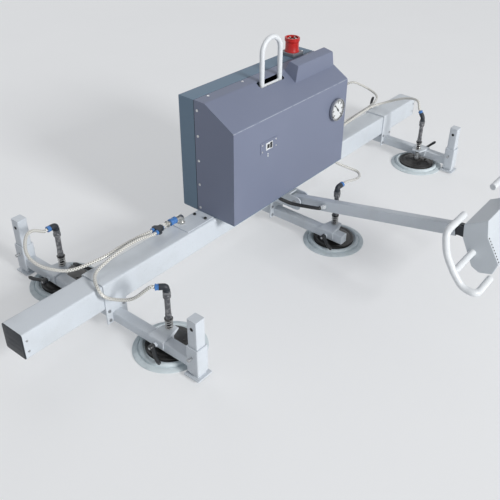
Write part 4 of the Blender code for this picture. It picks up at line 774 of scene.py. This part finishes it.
fold = [(front_y + sheet, foot_z - sheet), (front_y + sheet, shoulder_z - sheet / 2)]
fold += [(slope_y - sheet / 2, roof_z - sheet), (joint_y + sheet, roof_z - sheet)]
inside = [(joint_y + sheet, foot_z - sheet), *soften(fold, 0.0065, False)]
eye_slot = rectangle(-0.105, 0.047, beam_y - 0.041, beam_y - 0.0125, 0.01)
shell = carve(
    prism(outline, left_x, right_x, "x"),
    prism(inside, left_x + sheet, right_x - sheet, "x"),
    prism(eye_slot, shoulder_z, roof_z + sheet),
)
piece("front_cover", "lifter", cover_coat, shell, "housing_cover", edge=0.0018)
# A near-black frame strip in the joint between cover and rear box is painted shade for the gap.
gap_shade_outer = rectangle(left_x + 0.0012, right_x - 0.0012, foot_z, roof_z - 0.0012, 0.003)
gap_shade_inner = rectangle(left_x + 0.009, right_x - 0.009, foot_z + 0.008, roof_z - 0.009, 0.002)
gap_shade_frame = hollow_prism(gap_shade_outer, gap_shade_inner, lap_y - 0.0002, joint_y + 0.0002, "y")
piece("cover_joint_painted_shade", "lifter", shade_and_mark_black, [gap_shade_frame])


def slope_z(y):
    """The height of the cover's slope at this distance along it."""
    return roof_z + (shoulder_z - roof_z) * (y - slope_y) / (front_y - slope_y)


hood_front, hood_back, hood_ridge = beam_y - 0.075, beam_y - 0.012, beam_y - 0.028
hood_low, hood_top = slope_z(hood_front), roof_z + 0.0385
hood_left, hood_right, hood_lean = 0.075, 0.35, 0.016
hood_side = [(hood_front, hood_low - sheet / 2), (hood_front, roof_z + 0.0285), (hood_ridge, hood_top)]
hood_side.append((hood_back, slope_z(hood_back) - sheet / 2))
hood = mesh_of(prism(soften(hood_side, [0, 0.005, 0.006, 0], steps=5), hood_left, hood_right, "x"))
for vert in hood.vertices:
    lean = hood_lean * max(0.0, vert.co.z - hood_low) / (hood_top - hood_low)
    vert.co.x += lean if vert.co.x < (hood_left + hood_right) / 2 else -lean
piece("sign_hood", "lifter", cover_coat, hood, edge=0.0016)
steel = coating("stainless_steel", (214, 215, 216), (0.2, 0.18), (70, 4), (800, 0.00002, 0.4), 1.0)
screw_y = joint_y - 0.0185
heads = [socket_screw(left_x + s * 0.748, screw_y, roof_z, 0.0025, 0.0052) for s in (0.08, 0.34, 0.66, 0.92)]
for share in (0.04, 0.26, 0.48, 0.7, 0.92):
    for x, hand in ((left_x, -1), (right_x, 1)):
        heads.append(disc(0.0052, x, x + hand * 0.0024, "x", (screw_y, floor_z + share * 0.4664), 24))
piece("cover_screws", "lifter", steel, heads, edge=0.0006)

# Switch plate on the front: a coated plate with a pale frame round a dark display and a black
# rocker, four screws, and two small pale indicators below.
switch_x, switch_z = -0.186, floor_z + 0.271
plate_front = front_y - sheet
plate = prism(around(switch_x, switch_z, 0.052, 0.024, 0.004), plate_front, front_y + sheet / 2, "y")
window = prism(around(switch_x, switch_z, 0.018, 0.007), front_y - 2 * sheet, front_y - sheet / 2, "y")
piece("switch_plate", "lifter", cover_coat, carve(plate, window), edge=0.0006)
lamp_white = coating("pale_window", (226, 229, 230), (0.26, 0.12), (200, 3))
bezel_out = around(switch_x, switch_z, 0.0205, 0.015, 0.002)
bezel_in = around(switch_x, switch_z, 0.0172, 0.012, 0.0015)
bezel = hollow_prism(bezel_out, bezel_in, plate_front - 0.0018, plate_front, "y")
piece("switch_frame", "lifter", lamp_white, [bezel], edge=0.0004)
for name, finish, left, right, reach, front, back, edge in (
    ("rocker", gloss_black, 0.0055, 0.0168, 0.0116, 0.003, 0.0, 0.0008),
    ("window", lamp_white, -0.0168, 0.0045, 0.0116, 0.0012, 0.0, 0.0004),
    ("display", gloss_black, -0.0135, 0.001, 0.0085, 0.0016, 0.001, 0.0),
):
    outline = rectangle(switch_x + left, switch_x + right, switch_z - reach, switch_z + reach, 0.001)
    shapes = [prism(outline, plate_front - front, plate_front - back, "y")]
    piece(f"switch_{name}", "lifter", finish, shapes, edge=edge)
heads = []
for x in (-0.042, 0.042):
    for z in (-0.014, 0.014):
        heads.append(disc(0.0036, plate_front - 0.0016, plate_front, "y", (switch_x + x, switch_z + z), 24))
piece("switch_screws", "lifter", steel, heads, edge=0.0005)
spots = [(switch_x - 0.006, switch_z - drop) for drop in (0.034, 0.043)]
dots = [disc(0.003, plate_front - 0.0008, front_y + 0.0002, "y", spot) for spot in spots]
piece("switch_indicators", "lifter", lamp_white, dots, edge=0.0004)

# Lifting eye: a round steel bar bent to an arch, welded to the base plate, coated near white. A
# thinner bar is welded across its legs at the slot.
white_coat = coating(
    "white_coat", (226, 229, 231), (0.38, 0.15), (30, 5, 0.5, 0.8), (380, 0.0001, 0.5),
    share=0.35, tones=[(227, 230, 232), (206, 209, 211)],
)
eye_middle, bend, arch_z = (eye_left + eye_right) / 2, (eye_right - eye_left) / 2, 0.778
turns = [math.pi * k / 32 for k in range(33)]
arch = [(eye_middle - bend * math.cos(t), eye_y, arch_z + bend * math.sin(t)) for t in turns]
route = [(eye_left, eye_y, floor_z), (eye_left, eye_y, 0.6), *arch]
route += [(eye_right, eye_y, 0.6), (eye_right, eye_y, floor_z)]
across = (eye_y, slope_z(eye_y) - 0.01)
shapes = [sweep(route, eye_bar, 32), disc(0.006, eye_left, eye_right, "x", across, 28)]
for x, hand in ((eye_left, 1), (eye_right, -1)):
    shapes.append(disc(0.0075, x + hand * 0.0085, x + hand * 0.0125, "x", across, 20))
piece("eye_bar", "lifter", white_coat, shapes, "lifting_eye")

# Power inlet: a red moulded shell with a collar round a socket and five pins, standing on a
# grey square base with four corner screws. The socket's deep well is painted near black as shade.
slot_name = "red_plastic"
red_plastic = coating(
    "red_moulded_plastic", (196, 38, 34), (0.3, 0.15), (26, 4, 0.4, 0.8), (800, 0.00004, 0.5),
    tones=[(198, 38, 34), (170, 30, 30)],
)
grey_plastic = coating("grey_moulded_plastic", (120, 124, 130), (0.45, 0.15), (60, 3), (700, 0.00006, 0.5))
inlet_x, inlet_y = 0.255, beam_y + 0.08165
base_z, rim_z = roof_z + 0.0003, roof_z + 0.0743
base = prism(around(inlet_x, inlet_y, 0.037, 0.037, 0.006), base_z, base_z + 0.014)
piece("inlet_base", "lifter", grey_plastic, [base], edge=0.002)
shell = [(0.0002, base_z + 0.034), (0.025, base_z + 0.036), (0.025, rim_z - 0.001), (0.026, rim_z)]
shell += [(0.0315, rim_z), (0.0325, rim_z - 0.0012), (0.0325, rim_z - 0.014), (0.0312, rim_z - 0.016)]
shell += [(0.029, rim_z - 0.0185), (0.029, base_z + 0.024), (0.0305, base_z + 0.021)]
shell.append((0.0312, base_z + 0.0142))
shift = (inlet_x, inlet_y, 0)
piece("inlet_shell", "lifter", red_plastic, [turned(shell, 64)], "power_inlet", shift=shift)
# The well is a near-black disc, painted shade in the socket's recess.
well = disc(0.0246, base_z + 0.0345, rim_z - 0.011, "z", (inlet_x, inlet_y), 48)
piece("inlet_well", "lifter", shade_and_mark_black, [well])
spots = circle(0.016, 5, (inlet_x, inlet_y))
pins = [disc(0.0036, rim_z - 0.0115, rim_z - 0.003, "z", spot, 20) for spot in spots]
piece("inlet_pins", "lifter", nickel, pins, edge=0.0006)
spots = [(inlet_x + a * 0.0305, inlet_y + b * 0.0305) for a in hands for b in hands]
heads = [disc(0.0032, base_z + 0.0135, base_z + 0.0152, "z", spot, 20) for spot in spots]
piece("inlet_screws", "lifter", steel, heads, edge=0.0004)

# Vacuum gauge: a round steel case with a polished rim, a white dial with black graduations under
# glass, and a black needle on a central spindle.
dial_white = coating("gauge_dial", (224, 226, 226), (0.42, 0.1), (150, 3))
rim_chrome = coating("gauge_rim_chrome", (172, 174, 178), (0.12, 0.14), (90, 4), (900, 0.00002, 0.4), 1.0)
gauge_place, gauge_turn = (0.275, front_y - 0.0003, floor_z + 0.274), turn_to((0, -1, 0), (1, 0, 0))
case = [(0.047, 0), (0.0492, 0.003), (0.0492, 0.01), (0.0485, 0.0108), (0.0498, 0.0116), (0.0498, 0.015)]
case += [(0.0492, 0.0166), (0.0482, 0.0176), (0.0468, 0.0178), (0.0456, 0.017), (0.045, 0.0112)]
case.append((0.001, 0.011))
marks = []
for k in range(31):
    angle = math.radians(225 - k * 9)
    inner, wide = (0.027, 0.0025) if k % 5 == 0 else (0.0345, 0.001)
    along, across = Vector((math.cos(angle), math.sin(angle))), Vector((-math.sin(angle), math.cos(angle)))
    corners = [(inner, -wide), (0.0405, -wide), (0.0405, wide), (inner, wide)]
    marks.append(prism([along * u + across * v for u, v in corners], 0.01205, 0.0123))
marks.append(hollow_prism(circle(0.0418, 72), circle(0.0403, 72), 0.01205, 0.0123))
marks.append(hollow_prism(circle(0.0451, 72), circle(0.044, 72), 0.01205, 0.0128))
blade = [(-0.003, -0.0115), (0.003, -0.0115), (0.0024, 0), (0.001, 0.034), (-0.001, 0.034), (-0.0024, 0)]
pointer = mesh_of(prism(blade, 0.0128, 0.0138), disc(0.0042, 0.0123, 0.0143, sides=28))
pointer.transform(Matrix.Rotation(math.radians(40), 4, "Z"))
for name, body, finish, shapes, node in (
    ("case", "lifter", rim_chrome, [turned(case, 96)], "gauge"),
    ("dial", "lifter", dial_white, [disc(0.0449, 0.0119, 0.01215, sides=72)], None),
    ("marks", "lifter", shade_and_mark_black, marks, None),
    ("pointer", "gauge_needle", gloss_black, pointer, "gauge_needle"),
):
    piece(f"gauge_{name}", body, finish, shapes, node, gauge_place, gauge_turn)

# Operator arm: a rectangular tube on a cross pin between two cheeks, which are bolted to the front
# of the middle crossbar. A light gland on its left side takes the console cable.
outer, inner = 0.0325, 0.0265
low, high, nose = 0.1255, 0.1855, beam_y - 0.202
root_y, hinge_y, hinge_z = beam_y - 0.053, beam_y - 0.172, 0.1555
cheek = [(root_y, low), (root_y, high), (hinge_y, high), (nose, high), (nose, low), (hinge_y, low)]
cheek = soften(cheek, [0, 0, 0, 0.024, 0.024, 0], steps=8)
bridge_y, under = beam_y - 0.14, high - 0.006
bridge = [(root_y, under), (root_y, high), (bridge_y, high), (bridge_y, under)]
shapes = [prism(cheek, hand * outer, hand * inner, "x") for hand in hands]
shapes.append(prism(bridge, -inner, inner, "x"))
piece("arm_bracket", "lifter", light_grey, shapes, edge=0.0008)
tilt, arm_place = math.radians(12.2), (0, hinge_y, hinge_z)
walls = (around(0, 0, 0.015, 0.024, 0.003), around(0, 0, 0.012, 0.021, 0.0015))
pin = [disc(0.007, -0.0365, 0.0365, "x", sides=28)]
for hand in hands:
    pin.append(disc(0.0125, hand * 0.0328, hand * 0.034, "x", sides=28))
    pin.append(disc(0.0105, hand * 0.0328, hand * 0.0365, "x", sides=6))
tongue_end, tube_end = -0.747, -0.7015
tongue = rectangle(tube_end, tongue_end - 0.0225, -0.0225, 0.0225)
tongue = prism(soften(tongue, [0, 0.0158, 0.0158, 0], steps=8), -0.006, 0.006, "x")
plug = prism(rectangle(-0.7243, tube_end, -0.024, 0.024), -0.0135, 0.0135, "x")
tip = [tongue, plug, disc(0.0049, -0.0153, 0.0153, "x", (tongue_end, 0))]
along = [(-0.0147 - 0.0154 * s, -0.15 + 0.0154 * s, 0) for s in (0.0, 0.3, 0.34, 0.66, 0.7, 1.0)]
gland = sweep(along, [0.0088, 0.0088, 0.011, 0.011, 0.0096, 0.0084], 28)
pale_plastic = coating("pale_moulded_plastic", (196, 200, 202), (0.36, 0.15), (90, 3), (700, 0.00005, 0.5))
for name, finish, shapes, node, edge in (
    ("tube", light_grey, [hollow_prism(*walls, -0.724, 0.022, "y")], "control_arm", 0.0),
    ("hub", light_grey, [disc(0.014, -0.026, 0.026, "x", sides=36)], None, 0.0006),
    ("pin", zinc, pin, None, 0.0004),
    ("tongue", dark_plastic, tip, None, 0.0005),
    ("gland", pale_plastic, [gland], None, 0.0),
):
    piece(f"arm_{name}", "control_arm", finish, shapes, node, arm_place, (-tilt, 0, 0), edge)

# Console: a folded sheet box with eight sides seen from the end, closed by two end plates, with a
# row of rivets along the panel's edges. A black moulded fork tilts on the arm's tongue.
console_coat = coating(
    "console_coat", (203, 209, 214), (0.36, 0.14), (7, 6, 0.4, 0.8), (480, 0.00012, 0.5),
    share=0.35, tones=[(204, 210, 215), (189, 194, 198)],
)
desk, slot_name = Vector((-0.60056, 0.31336)), "console_coat"
side = [(-0.039, 0.093), (-0.119, 0.14), (-0.13, 0.077), (-0.186, -0.01)]
side += [(-0.172, -0.058), (-0.125, -0.072), (-0.095, -0.059), (-0.044, 0.039)]
side = [desk + Vector(point) for point in side]
box = prism(soften(side, 0.005), -0.11, 0.11, "x")
piece("console_box", "control_box", console_coat, [box], "control_box", edge=0.0012)
middle = sum(side, Vector((0, 0))) / len(side)
rim = soften([middle + (point - middle) * 0.972 for point in side], 0.004)
plates = [prism(rim, hand * 0.108, hand * 0.1108, "x") for hand in hands]
piece("console_end_plates", "control_box", console_coat, plates, edge=0.0006)
panel_top, panel_foot = side[2:4]
down = (panel_foot - panel_top).normalized()
panel_turn = turn_to((0, down.y, -down.x), (1, 0, 0))
rivets = []
for hand in hands:
    for k in range(9):
        spot = panel_top + (panel_foot - panel_top) * (0.06 + 0.11 * k)
        head = turned([(0.0032, -0.001), (0.0032, 0.0004), (0.002, 0.0012)], 16)
        head.transform(Matrix.Translation((hand * 0.1035, *spot)) @ panel_turn.to_matrix().to_4x4())
        rivets.append(head)
piece("console_rivets", "control_box", dark_steel, rivets)
fork_side = rectangle(desk.x - 0.085, desk.x + 0.018, desk.y - 0.02, desk.y + 0.02)
fork_side = soften(fork_side, [0, 0.0135, 0.0135, 0], steps=8)
fork = [prism(fork_side, hand * 0.0065, hand * 0.0152, "x") for hand in hands]
web = rectangle(desk.x - 0.085, desk.x - 0.0295, desk.y - 0.02, desk.y + 0.02)
fork.append(prism(web, -0.0066, 0.0066, "x"))
piece("console_fork", "control_box", dark_plastic, fork, edge=0.001)

# Handles: one bent round tube at each side of the console, held by its ends and by a straight
# stub welded to the box, coated near white.
handle_reach, tube_radius = 0.2645, 0.0125
grip = [(0.122, -0.037, 0.138), (handle_reach, -0.037, 0.138), (handle_reach, -0.053, 0.061)]
grip += [(handle_reach, -0.09, 0.0), (handle_reach, -0.129, -0.043), (handle_reach, -0.18, -0.047)]
grip.append((0.15, -0.18, -0.047))
stub_y, stub_z = desk + Vector((-0.088, -0.002))
for name, hand in (("left", -1), ("right", 1)):
    route = [(hand * x, desk.x + y, desk.y + z) for x, y, z in grip]
    bar = soften(route, [0, 0.03, 0.026, 0.026, 0.022, 0.024, 0], False, 8)
    start = bar[0] + (bar[1] - bar[0]).normalized() * 0.002
    finish = bar[-1] + (bar[-2] - bar[-1]).normalized() * 0.002
    points = [bar[0], start, *bar[1:-1], finish, bar[-1]]
    shapes = [sweep(points, [0.0105, *[tube_radius] * (len(points) - 2), 0.0105], 32)]
    for near, far, radii in ((0.107, handle_reach, 0.0122), (0.1098, 0.1125, [0.0148, 0.0126])):
        shapes.append(sweep([(hand * near, stub_y, stub_z), (hand * far, stub_y, stub_z)], radii, 32))
    piece(f"handle_{name}", "control_box", white_coat, shapes)

# Panel button: a black round push button that sinks into the sloping operator panel, in a thin
# steel ring.
knob_at = Vector((0, *((panel_top + panel_foot) / 2)))
knob = [(0.0108, -0.008), (0.0108, 0.0052), (0.0102, 0.0068), (0.009, 0.0078), (0.006, 0.008)]
knob.append((0.005, 0.0074))
node = "panel_button"
piece("button_head", node, gloss_black, [turned(knob)], node, knob_at, panel_turn)
ring = [(0.0118, 0.0), (0.015, 0.0), (0.015, 0.0014), (0.0142, 0.0022), (0.0126, 0.0022), (0.0118, 0.0014)]
piece("button_ring", "control_box", steel, [turned(ring, loop=True)], None, knob_at, panel_turn)

# Vacuum hoses: clear braided tubes, each pushed into an elbow's blue collar at one end and into a
# branch collar, or the housing floor, at the other. They hang in loose curves and lie over the beam.
hose_clear = Finish("clear_braided_hose", (196, 193, 182), 0.28)


def ripple(finish, *per_metre):
    """A wave over a tube, from how far round and how far along it each spot lies."""
    source = {"attribute_name": "lay", "attribute_type": "GEOMETRY"}
    factors = {0: finish.node("ShaderNodeAttribute", source, output=1), 1: (*per_metre, 0.0)}
    return finish.node("ShaderNodeVectorMath", {"operation": "DOT_PRODUCT"}, factors, output=1).math("SINE")


one_way, other_way = (ripple(hose_clear, 3.0, slant * 700.0).above(-0.1, 0.7) for slant in (1.0, -1.0))
braid = one_way.math("MAXIMUM", other_way)
cloud = hose_clear.noise(20.0, 3.0).above(0.35, 0.75)
tone = hose_clear.blend(cloud * 0.5, (150, 147, 134), (118, 115, 104))
hose_clear.set(Base_Color=hose_clear.blend(braid * 0.95, tone, (236, 235, 230)), Roughness=0.22 + braid * 0.2)
hose_clear.bump(braid, 0.00015, 0.5)
hose_clear.set(Coat_Weight=0.4 - braid * 0.2)


def tube_mesh(points, radius, sides):
    """A round tube whose corners know how far round and how far along they lie."""
    rings = rings_along(points, [radius] * len(points), sides)
    faces, lays, walk = [], [], 0.0
    for i in range(len(points) - 1):
        ahead = walk + (points[i + 1] - points[i]).length
        for k in range(sides):
            n = (k + 1) % sides
            faces.append((i * sides + k, i * sides + n, (i + 1) * sides + n, (i + 1) * sides + k))
            a, b = 2 * math.pi * k / sides, 2 * math.pi * (k + 1) / sides
            lays += [(a, walk, 0), (b, walk, 0), (b, ahead, 0), (a, ahead, 0)]
        walk = ahead
    last = (len(points) - 1) * sides
    faces += [tuple(range(sides))[::-1], tuple(range(last, last + sides))]
    lays += [(0, 0, 0)] * (2 * sides)
    mesh = bpy.data.meshes.new("tube")
    mesh.from_pydata([point for ring in rings for point in ring], [], faces)
    attribute = mesh.attributes.new("lay", "FLOAT_VECTOR", "CORNER")
    attribute.data.foreach_set("vector", [value for corner in lays for value in corner])
    return smooth(mesh, 50)


def relaxed(points, passes):
    """The route with its kinks evened out, its two ends kept."""
    for _ in range(passes):
        inner = [(points[i - 1] + points[i] * 2 + points[i + 1]) / 4 for i in range(1, len(points) - 1)]
        points = [*points[:4], *inner[3:-3], *points[-4:]]
    return points


def run_tube(name, finish, points, radius, node, sides=16):
    """A hose or cable as a round tube along the points, with the part that it stands for hidden."""
    item = put(name, tube_mesh(points, radius, sides))
    item.data.materials.append(finish.material)
    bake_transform(item)
    if node:
        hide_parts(node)
    length = sum((b - a).length for a, b in zip(points, points[1:]))


hose_points = {
    "front_left": [
        (-0.926, -0.165, 0.19), (-0.958, -0.1, 0.177), (-0.976, -0.08, 0.188), (-0.98, -0.07, 0.207),
        (-0.972, -0.046, 0.219), (-0.95, -0.012, 0.221), (-0.915, 0.01, 0.224), (-0.812, 0.015, 0.243),
        (-0.724, 0.015, 0.246),
    ],
    "rear_left": [
        (-0.956, 0.29, 0.286), (-0.993, 0.28, 0.289), (-1.036, 0.23, 0.258), (-1.034, 0.17, 0.232),
        (-0.996, 0.11, 0.217), (-0.957, 0.08, 0.215), (-0.86, 0.045, 0.229), (-0.791, 0.04, 0.237),
        (-0.706, 0.038, 0.237),
    ],
    "front_right": [
        (0.936, -0.225, 0.333), (0.958, -0.16, 0.322), (0.955, -0.1, 0.3), (0.947, -0.03, 0.265),
        (0.9, 0.01, 0.25), (0.805, 0.018, 0.243), (0.691, 0.016, 0.236),
    ],
    "rear_right": [
        (0.981, 0.2, 0.308), (1.035, 0.18, 0.284), (1.075, 0.15, 0.257), (1.074, 0.105, 0.243),
        (1.04, 0.068, 0.236), (0.968, 0.05, 0.23), (0.84, 0.04, 0.231), (0.717, 0.037, 0.23),
    ],
    "front_middle": [
        (0.16, -0.318, 0.235), (0.273, -0.282, 0.182), (0.375, -0.245, 0.14), (0.415, -0.21, 0.138),
        (0.392, -0.175, 0.152),
    ],
}
for place, middle_points in hose_points.items():
    start, heading = hose_starts[place]
    row = -1 if place.startswith("front") else 1
    if place == "front_middle":
        finish, approach = Vector((0.345, beam_y - 0.128, floor_z)), Vector((0, 0, -1))
    else:
        hand = -1 if place.endswith("left") else 1
        finish = Vector((housing_x + hand * 0.6264, pipe_y + row * collar_row, pipe_z))
        approach = Vector((hand, 0, 0))
    route = [start + heading * 0.0003, start + heading * 0.018]
    route += [Vector(point) + Vector((0, beam_y, 0)) for point in middle_points]
    route += [finish + approach * 0.018, finish + approach * 0.0003]
    path = relaxed(smooth_route(route, 0.004), 30)
    carrier, hose = f"carrier_{place}", f"hose_{place}"
    if place == "front_middle":
        sections = [("tube", path, (carrier, "lifter"), (4, -4), hose)]
    else:
        bar = f"crossbar_{place.split('_')[1]}"
        half = min(range(len(path)), key=lambda k: abs(path[k].y - beam_y - row * 0.1))
        sections = [
            ("outer", path[: half + 1], (carrier, bar), (3, -4), hose),
            ("inner", path[half:], (bar, "lifter"), (3, -4), None),
        ]
    for part, points, bodies, ends, node in sections:
        run_tube(f"{hose}_{part}", hose_clear, points, 0.006, node)

# Console cable: a black corrugated conduit that leaves the housing through its floor and enters the
# gland on the arm's left side.
conduit = Finish("black_conduit", (30, 31, 33), 0.42)
rib = ripple(conduit, 0.0, 1250.0).above(-0.6, 0.8)
# The grooves between the ribs are painted darker as shade and the crests lighter as highlight.
conduit.set(Base_Color=conduit.blend(rib, (18, 19, 20), (44, 46, 48)), Roughness=0.55 - rib * 0.18)
conduit.bump(rib, 0.0006, 0.8)
spin = Matrix.Rotation(-tilt, 3, "X")
tip = Vector(arm_place) + spin @ Vector((-0.0304, -0.1346, 0))
away = spin @ Vector((-1, 1, 0)).normalized()
start = Vector((-0.085, beam_y - 0.132, floor_z))
route = [start - Vector((0, 0, 0.0003)), start - Vector((0, 0, 0.015))]
route += [Vector((-0.078, beam_y - 0.15, 0.18)), Vector((-0.062, beam_y - 0.19, 0.171))]
route += [tip + away * 0.015, tip + away * 0.0003]
path, bodies = smooth_route(route, 0.003), ("lifter", "control_arm")
cable = "control_cable"
run_tube("console_cable", conduit, path, 0.0075, cable, 20)

# Studio: a wide pale floor, a large soft light from the operator's side, a weak one from behind
# and an even pale surround.
floor_finish = Finish("studio_floor", (238, 239, 240), 0.55)
floor_tone = floor_finish.noise(1.6, 5.0).above(0.3, 0.8)
floor_finish.set(Base_Color=floor_finish.blend(floor_tone * 0.3, (240, 241, 242), (232, 233, 234)))
paper = floor_finish.node("ShaderNodeEmission", inputs={"Color": srgb(248, 249, 250)})
floor_coat = Field(floor_finish, floor_finish.shader.outputs[0])
mix = {0: floor_finish.seen() * 0.35, 1: floor_coat, 2: paper}
floor_look = floor_finish.node("ShaderNodeMixShader", inputs=mix)
floor_finish.link(floor_finish.tree.nodes["Material Output"].inputs["Surface"], floor_look)
floor_mesh = bpy.data.meshes.new("floor")
floor_mesh.from_pydata([(-14, -14, 0), (14, -14, 0), (14, 14, 0), (-14, 14, 0)], [], [(0, 1, 2, 3)])
floor_mesh.materials.append(floor_finish.material)
floor = put("floor", floor_mesh)
for name, place, power, size in (
    ("key_light", (-1.3, -11.0, 5.5), 1120.0, 2.6),
    ("rim_light", (2.0, 7.6, 6.6), 90.0, 5.0),
):
    lamp = bpy.data.lights.new(name, "AREA")
    lamp.energy, lamp.size = power, size
    item = put(name, lamp)
    item.location = place
    item.rotation_euler = (Vector(place) - Vector((0, 0, 0.2))).to_track_quat("Z", "Y").to_euler()
world = bpy.data.worlds.new("studio")
world.use_nodes = True
bpy.context.scene.world = world
surround = Shading(world.node_tree)
glow = {"Color": (0.8, 0.83, 0.88, 1.0), "Strength": 0.38}
backdrop = {"Color": (0.93, 0.94, 0.95, 1.0), "Strength": 1.0}
lit, pale = (surround.node("ShaderNodeBackground", inputs=inputs) for inputs in (glow, backdrop))
choice = surround.node("ShaderNodeMixShader", inputs={0: surround.seen(), 1: lit, 2: pale})
surround.link(surround.tree.nodes["World Output"].inputs["Surface"], choice)
bpy.context.scene.view_settings.view_transform = "Standard"
